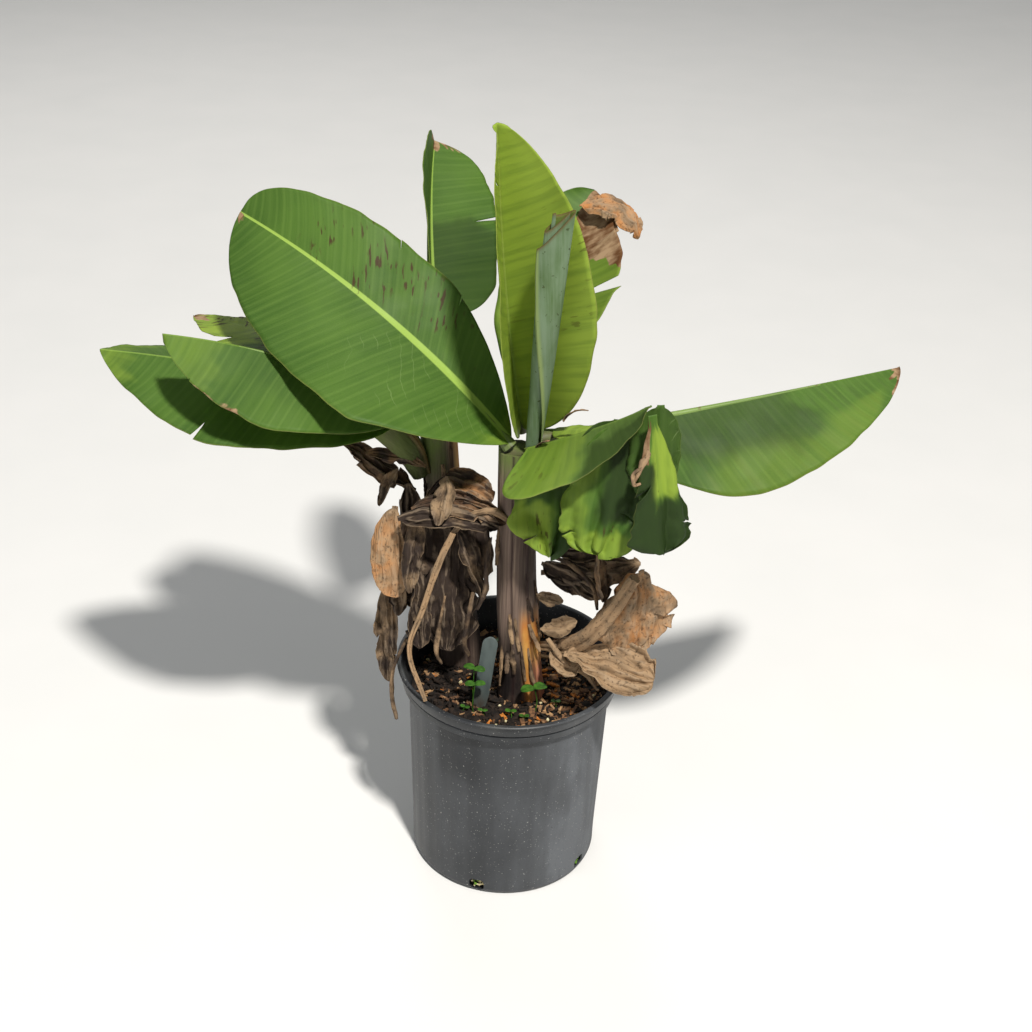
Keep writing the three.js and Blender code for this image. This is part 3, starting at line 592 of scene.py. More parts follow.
def torn_grid(name, rows, columns, tears):
    """A flat grid with slits along its rows, opened a little. Returns the piece, the row and
    column places of its corners, and how far each corner hangs off beside a slit."""
    piece, x, y = flat_grid(name, rows, columns)
    if not tears:
        return piece, x, y, np.zeros(len(x))
    mesh = bmesh.new()
    mesh.from_mesh(piece.data)
    lines = []
    for side, place, depth, gap, lift in tears:
        line = np.round((place * 2 - 1) * rows / 2 + rows / 2) / rows * 2 - 1
        root = 1 - depth
        cut = [e for e in mesh.edges
               if all(abs(v.co.x - line) < 1e-5 and -side * v.co.y > root - 1e-6 for v in e.verts)]
        bmesh.ops.split_edges(mesh, edges=cut)
        lines.append((side, line, root, gap, lift))
    mesh.verts.ensure_lookup_table()
    x = np.array([v.co.x for v in mesh.verts])
    y = np.array([v.co.y for v in mesh.verts])
    middle = np.array([sum(f.calc_center_median().x for f in v.link_faces) / len(v.link_faces)
                       for v in mesh.verts])
    mesh.to_mesh(piece.data)
    mesh.free()
    lift_by = np.zeros(len(x))
    moved = x.copy()
    for side, line, root, gap, lift in lines:
        out = np.clip((-side * y - root) / (1 - root), 0, 1)
        near = np.clip(1 - np.abs(x - line) / 0.12, 0, 1)
        ahead = np.where(np.abs(x - line) < 1e-5, np.sign(middle - line), np.sign(x - line))
        moved += ahead * gap * 0.0025 * out * near
        lift_by += ahead * lift * out ** 1.5 * near ** 2
    return piece, moved, y, lift_by


def mark(kind, marks, s, t):
    """Strength of one kind of mark at each place on a blade."""
    total = np.zeros(len(s))
    for name, s0, s1, t0, t1, strength in marks:
        if name == kind:
            patch = (smooth(s, s0 - 0.04, s0 + 0.04) * (1 - smooth(s, s1 - 0.04, s1 + 0.04))
                     * smooth(t, t0 - 0.12, t0 + 0.12) * (1 - smooth(t, t1 - 0.12, t1 + 0.12)))
            total = np.maximum(total, patch * strength)
    return total


def green_leaf(name, leaf, look, sizes, seed):
    """One green blade with its raised midrib, veins, waves and tears."""
    rows, columns = LARGE_GREEN_GRID if leaf.length > LARGE_GREEN_LENGTH else SMALL_GREEN_GRID
    piece, x, y, lift = torn_grid(name, rows, columns, look.tears)
    t = -(0.62 * y + 0.38 * y ** 3)
    q = (x + 1) / 2
    q = 0.75 * q + 0.25 * (0.5 - 0.5 * np.cos(np.pi * np.clip(q, 0, 1)))
    q = np.clip(q, 0, 1)
    start = leaf.stalk / (leaf.stalk + leaf.length)
    row = np.clip((q - start) / (1 - start), 0, 1)
    edge = np.abs(t)
    wobble = fractal(on_sheet(row * 9, np.sign(t) * 2.0), 1.0, seed, 2)
    strip = look.rib == 0
    stretch = 1 + (0.13 if strip else 0.035) * wobble * smooth(row, 0.02, 0.2)
    place, normal, half, s = blade_form(leaf, q, t, stretch)
    blade = smooth(s, 0.0, 0.05)
    if strip:
        # A torn strip folds sharply along its length, more towards its free end.
        drift = fractal(on_sheet(row * 1.2, t * 0.6), 1.0, seed + 9, 2)
        crease = np.abs(np.sin(np.pi * (1.1 * t + 0.9 * drift)))
        place += normal * ((crease - 0.5) * 9 * smooth(s, 0.05, 0.8) * smooth(half, 3, 20))[:, None]
        place[:, 2] += 7 * smooth(s, 0.7, 1.0) * fractal(on_sheet(t * 1.6), 1.0, seed + 10, 2)
    length = leaf.length * row
    spacing = sizes.vein_spacing / MM
    run = t * half if strip else length
    uneven = 0.4 + 0.6 * np.abs(fractal(on_sheet(run / 40, t * 0.7), 1.0, seed + 2, 2))
    ripple = np.cos(2 * np.pi * run / spacing) * uneven * sizes.vein_height / MM
    ripple *= smooth(edge, 0.08, 0.3) * blade
    waves = look.wave * edge ** 3 * blade * fractal(
        on_sheet(row * 7, np.sign(t) * 3.0), 1.0, seed + 3, 2)
    swell = 1.6 * fractal(place, 90, seed + 5, 2) * blade * edge
    place += normal * (ripple + waves + swell + lift)[:, None]
    taper = 1 - 0.72 * smooth(s, 0.0, 1.0)
    rib_half = min(sizes.midrib_width / MM / 2, leaf.length / 22) * taper * (0.7 + 0.6 * look.rib)
    rib_share = edge * half / rib_half
    dome = np.sqrt(np.clip(1 - rib_share ** 2, 0, 1))
    scale = min(1, leaf.length / 200)
    scale *= look.rib ** 0.5
    top = sizes.blade_thickness / MM / 2 + 0.3 * scale * taper * dome
    low = sizes.blade_thickness / MM / 2 + sizes.midrib_depth / MM * scale * taper * dome
    if strip:
        set_uv(piece, t * half * MM, length * MM)
    else:
        set_uv(piece, length * MM, t * half * MM)
    # The shade marks are painted shade, stored with the other tints.
    kinds = ("dead", "yellow", "spots", "scratch", "bands", "pale", "shade")
    line = mark("line", look.marks, s, 0 * t) * np.clip(1 - edge * half / 2.5, 0, 1)
    loose_s = s + 0.07 * fractal(on_sheet(row * 5, t * 2.5), 1.0, seed + 12, 3)
    loose_t = t + 0.16 * fractal(on_sheet(row * 4, t * 2.0), 1.0, seed + 13, 3)
    dead, yellow, spots, scratch, bands, pale, painted_shade = (
        mark(kind, look.marks, loose_s, loose_t) for kind in kinds)
    paint(piece, "shape", np.clip(rib_share / 3, 0, 1), edge, 0, look.rib)
    paint(piece, "marks", dead, yellow, spots, scratch)
    paint(piece, "tints_and_painted_shade", bands, pale, painted_shade, line)
    count = len(place)
    apply_modifier(piece, 'SOLIDIFY', thickness=0.001, offset=-1.0)
    if len(piece.data.vertices) != 2 * count:
        raise RuntimeError(f"{name}: the blade did not take its thickness")
    both = np.vstack([place + normal * top[:, None], place - normal * low[:, None]]) * MM
    set_places(piece, both)
    under = np.zeros(2 * count)
    under[count:] = 1
    layer = piece.data.color_attributes["shape"]
    rgba = np.empty(8 * count, np.float32)
    layer.data.foreach_get("color", rgba)
    rgba = rgba.reshape(-1, 4)
    rgba[:, 2] = under
    layer.data.foreach_set("color", rgba.ravel())
    shade(piece)
    return piece


def dead_leaf(name, leaf, look, sizes, seed):
    """One dried blade on the same form as a green one: long folds that run into both ends, margins
    curled in, slow bends, fine wrinkles along it, and a few bites and slits."""
    rows, columns = LARGE_DEAD_GRID if leaf.length > LARGE_DEAD_LENGTH else SMALL_DEAD_GRID
    dice = random.Random(seed)
    tears = [(dice.choice((-1, 1)), dice.uniform(0.2, 0.85), dice.uniform(0.2, 0.6),
              dice.uniform(1, 3), dice.uniform(-6, 6)) for _ in range(look.slits)]
    piece, x, y, lift = torn_grid(name, rows, columns, tears)
    t = -y
    q = np.clip((x + 1) / 2, 0, 1)
    start = leaf.stalk / (leaf.stalk + leaf.length)
    row = np.clip((q - start) / (1 - start), 0, 1)
    edge = np.abs(t)
    margin = 1 + 0.13 * fractal(on_sheet(row * 3.2, np.sign(t) * 2.0), 1.0, seed, 4)
    for _ in range(look.bites):
        side, middle = dice.choice((-1, 1)), dice.uniform(0.1, 0.95)
        reach, depth = dice.uniform(0.03, 0.10), dice.uniform(0.12, 0.40)
        bite = np.clip(1 - np.abs(row - middle) / reach, 0, 1) ** 0.7
        margin = margin - depth * bite * (np.sign(t) == side)
    width = max(leaf.left[0], leaf.right[0])
    turn_in = fractal(on_sheet(row * 1.3, np.sign(t) * 3.0), 1.0, seed + 5, 2)
    rolled = smooth(edge, 0.55, 1.0) ** 1.5 * (0.55 + 0.9 * np.abs(turn_in))
    held = t * (1 - np.clip(0.4 * look.curl / width, 0, 0.25) * rolled)
    place, normal, half, s = blade_form(leaf, q, held, np.maximum(margin, 0.3), tip=2.0)
    open_part = smooth(half, 2.0, 12.0)
    drift = fractal(on_sheet(row * 1.7, t * 0.8), 1.0, seed + 1, 2)
    fold = np.abs(np.sin(np.pi * (t * look.folds / 2 + 0.6 * drift)))
    fold_height = np.minimum(6.0, 1.1 * half / look.folds)
    fold_height = fold_height * (0.7 + 0.6 * fractal(on_sheet(row * 2.5, t), 1.0, seed + 3, 1))
    along_mm, across_mm = row * leaf.length, t * half
    wrinkle = ridges(on_sheet(along_mm / 46, across_mm / 6.5), 1.0, seed + 4, 3)
    cross = ridges(on_sheet(along_mm / 13, across_mm / 40), 1.0, seed + 7, 2)
    slow = fractal(place, 58, seed + 6, 2)
    push = (fold - 0.5) * fold_height + (wrinkle - 0.4) * 1.5 + (cross - 0.4) * 0.5
    push = push + slow * look.bend + np.sign(turn_in + 0.15) * look.curl * rolled
    place += normal * (push * open_part + lift)[:, None]
    place += open_part[:, None] * 2.6 * np.stack(
        [fractal(place, 26, seed + 8 + axis, 2) for axis in range(3)], 1)
    set_uv(piece, along_mm * MM, across_mm * MM)
    # This channel carries painted shade into the fold hollows and a painted highlight onto the ridges.
    crease = np.clip(0.10 + 0.50 * fold + 0.45 * wrinkle + 0.12 * cross, 0, 1)
    patch = fractal(place, 34, seed + 11, 3)
    tan = np.clip(look.tan + 0.38 * patch - 0.1 * look.tan * smooth(edge, 0.9, 1.0)
                  + 0.25 * smooth(edge, 0.86, 1.0) * (1 - look.tan), 0, 1)
    paint(piece, "shape", crease, edge, 0, 0.5 + 0.5 * drift)
    paint(piece, "marks", tan, np.clip(look.orange * (1 + 1.4 * patch), 0, 1), 0, 0)
    count = len(place)
    apply_modifier(piece, 'SOLIDIFY', thickness=0.001, offset=-1.0)
    if len(piece.data.vertices) != 2 * count:
        raise RuntimeError(f"{name}: the dried blade did not take its thickness")
    half_thick = sizes.dead_thickness / MM / 2
    rib = np.clip(1 - edge * half / 3.0, 0, 1) * (1 - 0.7 * s)
    set_places(piece, np.vstack([place + normal * (half_thick + 0.3 * rib)[:, None],
                                 place - normal * (half_thick + 1.4 * rib)[:, None]]) * MM)
    shade(piece)
    return piece


# ----------------------------------------------------------------------------- limb form
def limb_line(points, radii, steps):
    """Smooth line through the points: places, two directions across it, radii and length."""
    p = np.array(points, float)
    p = np.vstack([2 * p[0] - p[1], p, 2 * p[-1] - p[-2]])
    u = np.linspace(0, len(points) - 1, steps)
    low = np.minimum(np.floor(u).astype(int), len(points) - 2)
    f = (u - low)[:, None]
    a, b, c, d = (p[low + k] for k in range(4))
    place = 0.5 * (2 * b + (c - a) * f + (2 * a - 5 * b + 4 * c - d) * f ** 2
                   + (3 * b - a - 3 * c + d) * f ** 3)
    ahead = np.gradient(place, axis=0)
    ahead /= np.linalg.norm(ahead, axis=1)[:, None]
    side = np.cross(np.array([0, 1.0, 0]), ahead)
    side /= np.linalg.norm(side, axis=1)[:, None]
    radius = np.interp(u, np.arange(len(radii)), radii)
    length = np.concatenate([[0], np.cumsum(np.linalg.norm(np.diff(place, axis=0), axis=1))])
    return place, side, np.cross(ahead, side), radius, length


def limb(name, line, rows, sides, shape):
    """A closed limb. shape(along, around, radius, length) gives its radius at each corner and
    the channels painted on it. Around is 0 to 1; 0.5 faces the front and 0.75 the right."""
    points, radii = line
    piece, x, y = flat_grid(name, rows, sides)
    place, side, front, radius, length = limb_line(points, radii, rows + 1)
    index = np.clip(np.round((x + 1) / 2 * rows).astype(int), 0, rows)
    around = (y + 1) / 2
    angle = 2 * np.pi * (around - 0.5)
    reach, shape_channels, mark_channels = shape(
        (x + 1) / 2, around, radius[index], length[index])
    out = side[index] * np.sin(angle)[:, None] - front[index] * np.cos(angle)[:, None]
    set_uv(piece, length[index] * MM, around * 2 * np.pi * radius[index] * MM)
    paint(piece, "shape", *shape_channels)
    paint(piece, "marks", *mark_channels)
    set_places(piece, (place[index] + out * reach[:, None]) * MM)
    only(piece)
    bpy.ops.object.mode_set(mode='EDIT')
    bpy.ops.mesh.select_all(action='SELECT')
    bpy.ops.mesh.remove_doubles(threshold=1e-6)
    bpy.ops.mesh.fill_holes(sides=0)
    bpy.ops.mesh.normals_make_consistent(inside=False)
    bpy.ops.object.mode_set(mode='OBJECT')
    shade(piece, 50)
    return piece


def ribbon(name, points, width, facing, curl, tan, seed, thickness=0.5):
    """A thin dried strip along a line, curled across, with a ragged narrowing outline."""
    rows, columns = 44, 10
    piece, x, y = flat_grid(name, rows, columns)
    place, _, _, _, length = limb_line(points, [1, 1], rows + 1)
    index = np.clip(np.round((x + 1) / 2 * rows).astype(int), 0, rows)
    along = (x + 1) / 2
    ahead = np.gradient(place, axis=0)
    ahead /= np.linalg.norm(ahead, axis=1)[:, None]
    wobble = fractal(on_sheet(along * 3), 1.0, seed, 3)
    twist = np.radians(facing) + 1.1 * fractal(on_sheet(along * 1.5), 1.0, seed + 1, 2)
    out = np.stack([np.cos(twist), np.sin(twist), 0 * twist], 1)
    out -= ahead[index] * np.sum(out * ahead[index], 1)[:, None]
    out /= np.linalg.norm(out, axis=1)[:, None]
    side = np.cross(ahead[index], out)
    size = width / 2 * (0.35 + 0.65 * np.sin(np.pi * (0.12 + 0.76 * along))) * (1 + 0.5 * wobble)
    bend = curl * y
    shape = (place[index] + side * (size * np.sin(bend) / curl * 1.6)[:, None]
             + out * (size * (np.cos(bend) - 1) / curl * 1.6)[:, None])
    wrinkle = ridges(on_sheet(along * 3, y * 2.2), 1.0, seed + 2, 2)
    shape += out * (wrinkle * 1.1)[:, None]
    normal = side * np.sin(bend)[:, None] + out * np.cos(bend)[:, None]
    set_uv(piece, length[index] * MM, y * size * MM)
    # The wrinkles go into the crease channel, which paints shade in their hollows and light on their ridges.
    paint(piece, "shape", np.clip(0.25 + 0.7 * wrinkle, 0, 1), np.abs(y), 0, along)
    paint(piece, "marks", np.clip(tan + 0.3 * wobble, 0, 1), 0.1 * tan, 0, 0)
    apply_modifier(piece, 'SOLIDIFY', thickness=0.001, offset=-1.0)
    set_places(piece, np.vstack([shape + normal * thickness / 2, shape - normal * thickness / 2]) * MM)
    shade(piece)
    return piece


def turned(name, corners, sides):
    """A turned form, in metres: a ring of edges extruded from corner to corner, ends filled."""
    bpy.ops.object.select_all(action='DESELECT')
    radius, height = corners[0]
    bpy.ops.mesh.primitive_circle_add(vertices=sides, radius=radius, fill_type='NOTHING',
                                      location=(0, 0, 0))
    piece = bpy.context.object
    piece.name = piece.data.name = name
    bpy.ops.object.mode_set(mode='EDIT')
    bpy.ops.mesh.select_all(action='SELECT')
    bpy.ops.transform.translate(value=(0, 0, height))
    for (r0, z0), (r1, z1) in zip(corners, corners[1:]):
        bpy.ops.mesh.extrude_region_move(TRANSFORM_OT_translate={"value": (0, 0, z1 - z0)})
        bpy.ops.transform.resize(value=(r1 / r0, r1 / r0, 1), center_override=(0, 0, z1))
    bpy.ops.mesh.edge_face_add()
    bpy.ops.mesh.select_all(action='DESELECT')
    bpy.ops.object.mode_set(mode='OBJECT')
    for vertex in piece.data.vertices:
        vertex.select = vertex.index < sides
    bpy.ops.object.mode_set(mode='EDIT')
    bpy.ops.mesh.edge_face_add()
    bpy.ops.mesh.select_all(action='SELECT')
    bpy.ops.mesh.normals_make_consistent(inside=False)
    bpy.ops.object.mode_set(mode='OBJECT')
    return piece


def copies(name, source, poses):
    """One mesh of many turned, scaled and moved copies of a small source mesh."""
    co = places(source)
    faces = [tuple(f.vertices) for f in source.data.polygons]
    points, all_faces = [], []
    for index, (place, spin, scale) in enumerate(poses):
        points.append((co * scale) @ spin.T + place)
        all_faces += [tuple(v + index * len(co) for v in face) for face in faces]
    mesh = bpy.data.meshes.new(name)
    mesh.from_pydata(np.vstack(points).tolist(), [], all_faces)
    piece = bpy.data.objects.new(name, mesh)
    bpy.context.scene.collection.objects.link(piece)
    return piece


def spin_matrix(dice, level=0.35):
    """A random turn: any way about the upright, and tilted by up to level radians."""
    a, b, c = dice.uniform(0, 2 * np.pi), dice.uniform(-level, level), dice.uniform(-level, level)
    turn = np.array([[np.cos(a), -np.sin(a), 0], [np.sin(a), np.cos(a), 0], [0, 0, 1]])
    tip = np.array([[1, 0, 0], [0, np.cos(b), -np.sin(b)], [0, np.sin(b), np.cos(b)]])
    lean = np.array([[np.cos(c), 0, np.sin(c)], [0, 1, 0], [-np.sin(c), 0, np.cos(c)]])
    return turn @ tip @ lean


# -------------------------------------------------------------------------------- materials
def add_node(tree, kind, inputs=None, **settings):
    """Adds a shader node with its settings; a socket among the inputs is linked."""
    node = tree.nodes.new(kind)
    for key, value in settings.items():
        setattr(node, key, value)
    for key, value in (inputs or {}).items():
        if isinstance(value, bpy.types.NodeSocket):
            tree.links.new(value, node.inputs[key])
        else:
            node.inputs[key].default_value = value
    return node


def new_material(name):
    material = bpy.data.materials.new(name)
    material.use_nodes = True
    material.node_tree.nodes.clear()
    return material, material.node_tree


def mix_colours(tree, factor, a, b, blend='MIX'):
    node = add_node(tree, "ShaderNodeMix", {0: factor, 6: a, 7: b},
                    data_type='RGBA', blend_type=blend)
    return node.outputs[2]


def remap(tree, value, low, high, out_low=0.0, out_high=1.0):
    node = add_node(tree, "ShaderNodeMapRange",
                    {"Value": value, "From Min": low, "From Max": high,
                     "To Min": out_low, "To Max": out_high}, interpolation_type='SMOOTHSTEP')
    return node.outputs[0]


def maths(tree, operation, a, b):
    return add_node(tree, "ShaderNodeMath", {0: a, 1: b}, operation=operation).outputs[0]


def stretched_noise(tree, vector, scale, detail=3.0, size=1.0, roughness=0.55):
    """Noise on a stretched vector; scale is how many lumps a metre holds along each axis."""
    mapping = add_node(tree, "ShaderNodeMapping", {"Vector": vector, "Scale": scale})
    return add_node(tree, "ShaderNodeTexNoise",
                    {"Vector": mapping.outputs[0], "Scale": size, "Detail": detail,
                     "Roughness": roughness}).outputs["Fac"]


def channels(tree, name):
    node = add_node(tree, "ShaderNodeAttribute", attribute_name=name)
    parts = add_node(tree, "ShaderNodeSeparateColor", {"Color": node.outputs["Color"]})
    return parts.outputs[0], parts.outputs[1], parts.outputs[2], node.outputs["Alpha"]


def finish_shader(tree, base, roughness, height, bump, specular=0.5, through=None,
                  through_share=0.0):
    """A Principled surface with bump, and light coming through it where through is a colour."""
    normal = add_node(tree, "ShaderNodeBump", {"Height": height, "Strength": bump[0],
                                               "Distance": bump[1]}).outputs[0]
    surface = add_node(tree, "ShaderNodeBsdfPrincipled",
                       {"Base Color": base, "Roughness": roughness, "Normal": normal,
                        "Specular IOR Level": specular})
    out = add_node(tree, "ShaderNodeOutputMaterial")
    if through is None:
        tree.links.new(surface.outputs[0], out.inputs[0])
        return
    glow = add_node(tree, "ShaderNodeBsdfTranslucent", {"Color": through, "Normal": normal})
    blend = add_node(tree, "ShaderNodeMixShader", {0: through_share, 1: surface.outputs[0],
                                                   2: glow.outputs[0]})
    tree.links.new(blend.outputs[0], out.inputs[0])


def banana_blade_material(colours, sizes):
    """Living banana blade: a waxy cuticle over parallel veins. Gives a soft broken gloss above,
    paler wax bloom below, fine lines across the blade, and yellow-green light through it."""
    material, tree = new_material("waxy_banana_blade")
    coords = add_node(tree, "ShaderNodeTexCoord")
    uv, place = coords.outputs["UV"], coords.outputs["Object"]
    rib, edge, under, rib_strength = channels(tree, "shape")
    dead, yellow, spots, scratch = channels(tree, "marks")
    bands, pale, painted_shade, line = channels(tree, "tints_and_painted_shade")
    # Main lateral veins, one per vein spacing; the wave texture's period is 0.314 / scale.
    veins = add_node(tree, "ShaderNodeTexWave",
                     {"Vector": uv, "Scale": 0.314 / sizes.vein_spacing, "Distortion": 1.6,
                      "Detail": 2.0, "Detail Scale": 0.4}, bands_direction='X').outputs["Fac"]
    # Fine veins are about 1 mm apart in life; 2.6 mm is the finest that shows.
    lines = stretched_noise(tree, uv, (380.0, 9.0, 1.0), 2.0)
    streaks = stretched_noise(tree, uv, (110.0, 9.0, 1.0), 3.0)
    clouds = stretched_noise(tree, place, (9.0, 9.0, 9.0), 3.0)
    base = mix_colours(tree, remap(tree, clouds, 0.3, 0.7), colours.leaf_deep[:], colours.leaf_light[:])
    base = mix_colours(tree, remap(tree, streaks, 0.35, 0.7, 0.0, 0.12), base, linear("#6b8a38"))
    base = mix_colours(tree, remap(tree, lines, 0.35, 0.65, 0.0, 0.08), base, linear("#789546"))
    base = mix_colours(tree, remap(tree, veins, 0.62, 1.0, 0.0, 0.10), base, linear("#7d9a4c"))
    base = mix_colours(tree, maths(tree, 'MULTIPLY', bands, remap(tree, streaks, 0.45, 0.6)),
                       base, linear("#34491f"))
    base = mix_colours(tree, maths(tree, 'MULTIPLY', under, 0.75), base, colours.leaf_under[:])
    base = mix_colours(tree, maths(tree, 'MULTIPLY', pale, 0.6), base, linear("#7c8a58"))
    # Yellow marks are ageing tissue on most blades and painted sunlight on the tall upright leaf and the torn
    # strips.
    yellowing_and_painted_light = maths(tree, 'MULTIPLY', yellow, remap(tree, streaks, 0.25, 0.7, 0.5, 1.0))
    base = mix_colours(tree, yellowing_and_painted_light, base, colours.leaf_yellow[:])
    # Painted shade: shade marks darken the blade where it lies in shadow.
    base = mix_colours(tree, painted_shade, base, linear("#26341a"))
    base = mix_colours(tree, remap(tree, edge, 0.985, 0.998, 0.0, 0.45), base, linear("#8a8c48"))
    rib_mask = maths(tree, 'MULTIPLY', remap(tree, rib, 0.34, 0.22), rib_strength)
    base = mix_colours(tree, rib_mask, base, colours.midrib[:])
    base = mix_colours(tree, line, base, linear("#5a3c1c"))
    # Dark brown flecks about 3 mm wide and four times as long, drawn out along the veins.
    flecks = stretched_noise(tree, uv, (250.0, 62.0, 1.0), 1.5, 1.0, 0.5)
    clusters = stretched_noise(tree, uv, (26.0, 17.0, 1.0), 1.0)
    fleck_mask = maths(tree, 'MULTIPLY', remap(tree, flecks, 0.585, 0.63),
                       remap(tree, clusters, 0.46, 0.54))
    base = mix_colours(tree, maths(tree, 'MULTIPLY', fleck_mask, spots), base, linear("#43301a"))
    scratches = add_node(tree, "ShaderNodeTexWave",
                         {"Vector": add_node(tree, "ShaderNodeMapping",
                                             {"Vector": uv, "Rotation": (0, 0, 0.9)}).outputs[0],
                          "Scale": 26.0, "Distortion": 9.0, "Detail": 3.0,
                          "Detail Scale": 0.6}, bands_direction='X').outputs["Fac"]
    scratch_mask = maths(tree, 'MULTIPLY', remap(tree, scratches, 0.99, 1.0, 0.0, 0.7),
                         remap(tree, clusters, 0.45, 0.6))
    base = mix_colours(tree, maths(tree, 'MULTIPLY', scratch_mask, scratch), base, linear("#8fa468"))
    dry = stretched_noise(tree, uv, (90.0, 40.0, 1.0), 4.0)
    dry_mask = remap(tree, maths(tree, 'ADD', dead, maths(tree, 'MULTIPLY', dry, 0.5)), 0.62, 0.78)
    dry_colour = mix_colours(tree, remap(tree, dry, 0.35, 0.65), linear("#5a3a20"),
                             colours.dead_tan[:])
    base = mix_colours(tree, dry_mask, base, dry_colour)
    gloss = add_node(tree, "ShaderNodeTexNoise", {"Vector": place, "Scale": 30.0}).outputs["Fac"]
    roughness = maths(tree, 'ADD', remap(tree, gloss, 0.3, 0.7, 0.52, 0.66),
                      maths(tree, 'MULTIPLY', dry_mask, 0.35))
    height = maths(tree, 'ADD', maths(tree, 'MULTIPLY', veins, 0.5),
                   maths(tree, 'MULTIPLY', lines, 0.35))
    height = maths(tree, 'ADD', height, maths(tree, 'MULTIPLY', dry, 0.3))
    glow = mix_colours(tree, yellowing_and_painted_light, linear("#8aac2c"), linear("#b8ba34"))
    glow = mix_colours(tree, dry_mask, glow, linear("#7d5a34"))
    share = maths(tree, 'MULTIPLY', remap(tree, rib_mask, 0.0, 1.0, 0.24, 0.06),
                  remap(tree, dry_mask, 0.0, 1.0, 1.0, 0.3))
    finish_shader(tree, base, roughness, height, (0.25, 0.0006), 0.2, glow, share)
    return material


def stalk_material():
    """Living leaf stalk and midrib underside: smooth, waxy and pale. Gives long faint lines, a
    yellow-green body that greys towards its foot, and brown scuffs."""
    material, tree = new_material("waxy_leaf_stalk")
    coords = add_node(tree, "ShaderNodeTexCoord")
    uv, place = coords.outputs["UV"], coords.outputs["Object"]
    _, _, foot, _ = channels(tree, "shape")
    lines = stretched_noise(tree, uv, (10.0, 420.0, 1.0), 2.0)
    scuffs = stretched_noise(tree, place, (60.0, 60.0, 30.0), 3.0)
    base = mix_colours(tree, remap(tree, lines, 0.35, 0.65), linear("#5f7838"), linear("#768e49"))
    base = mix_colours(tree, remap(tree, scuffs, 0.58, 0.66, 0.0, 0.7), base, linear("#5a4527"))
    base = mix_colours(tree, maths(tree, 'MULTIPLY', foot, remap(tree, scuffs, 0.3, 0.55, 0.4, 1.0)),
                       base, linear("#4b4630"))
    finish_shader(tree, base, remap(tree, scuffs, 0.3, 0.7, 0.42, 0.6), lines, (0.3, 0.0005), 0.4)
    return material


def new_leaf_material(colours):
    """Rolled new banana leaf: a thick wax bloom over green. Gives a matt blue-green bloom,
    thin lines along the roll and a brighter inside."""
    material, tree = new_material("wax_bloomed_new_leaf")
    coords = add_node(tree, "ShaderNodeTexCoord")
    uv, place = coords.outputs["UV"], coords.outputs["Object"]
    tip, edge, inside, _ = channels(tree, "shape")
    lines = stretched_noise(tree, uv, (12.0, 260.0, 1.0), 3.0)
    bloom = stretched_noise(tree, place, (34.0, 34.0, 10.0), 4.0)
    base = mix_colours(tree, remap(tree, bloom, 0.32, 0.62), linear("#4c6637"), colours.new_leaf[:])
    base = mix_colours(tree, remap(tree, lines, 0.42, 0.68, 0.0, 0.30), base, linear("#8a9c82"))
    base = mix_colours(tree, inside, base, linear("#7c9244"))
    base = mix_colours(tree, remap(tree, edge, 0.972, 0.99, 0.0, 0.8), base, linear("#93a463"))
    base = mix_colours(tree, tip, base, linear("#5c4a26"))
    flecks = add_node(tree, "ShaderNodeTexNoise",
                      {"Vector": place, "Scale": 210.0, "Detail": 1.0}).outputs["Fac"]
    base = mix_colours(tree, remap(tree, flecks, 0.69, 0.74, 0.0, 0.8), base, linear("#39421f"))
    height = maths(tree, 'ADD', lines, maths(tree, 'MULTIPLY', bloom, 0.4))
    finish_shader(tree, base, remap(tree, bloom, 0.3, 0.7, 0.56, 0.72), height, (0.35, 0.0006),
                  0.3, linear("#86a040"), 0.12)
    return material


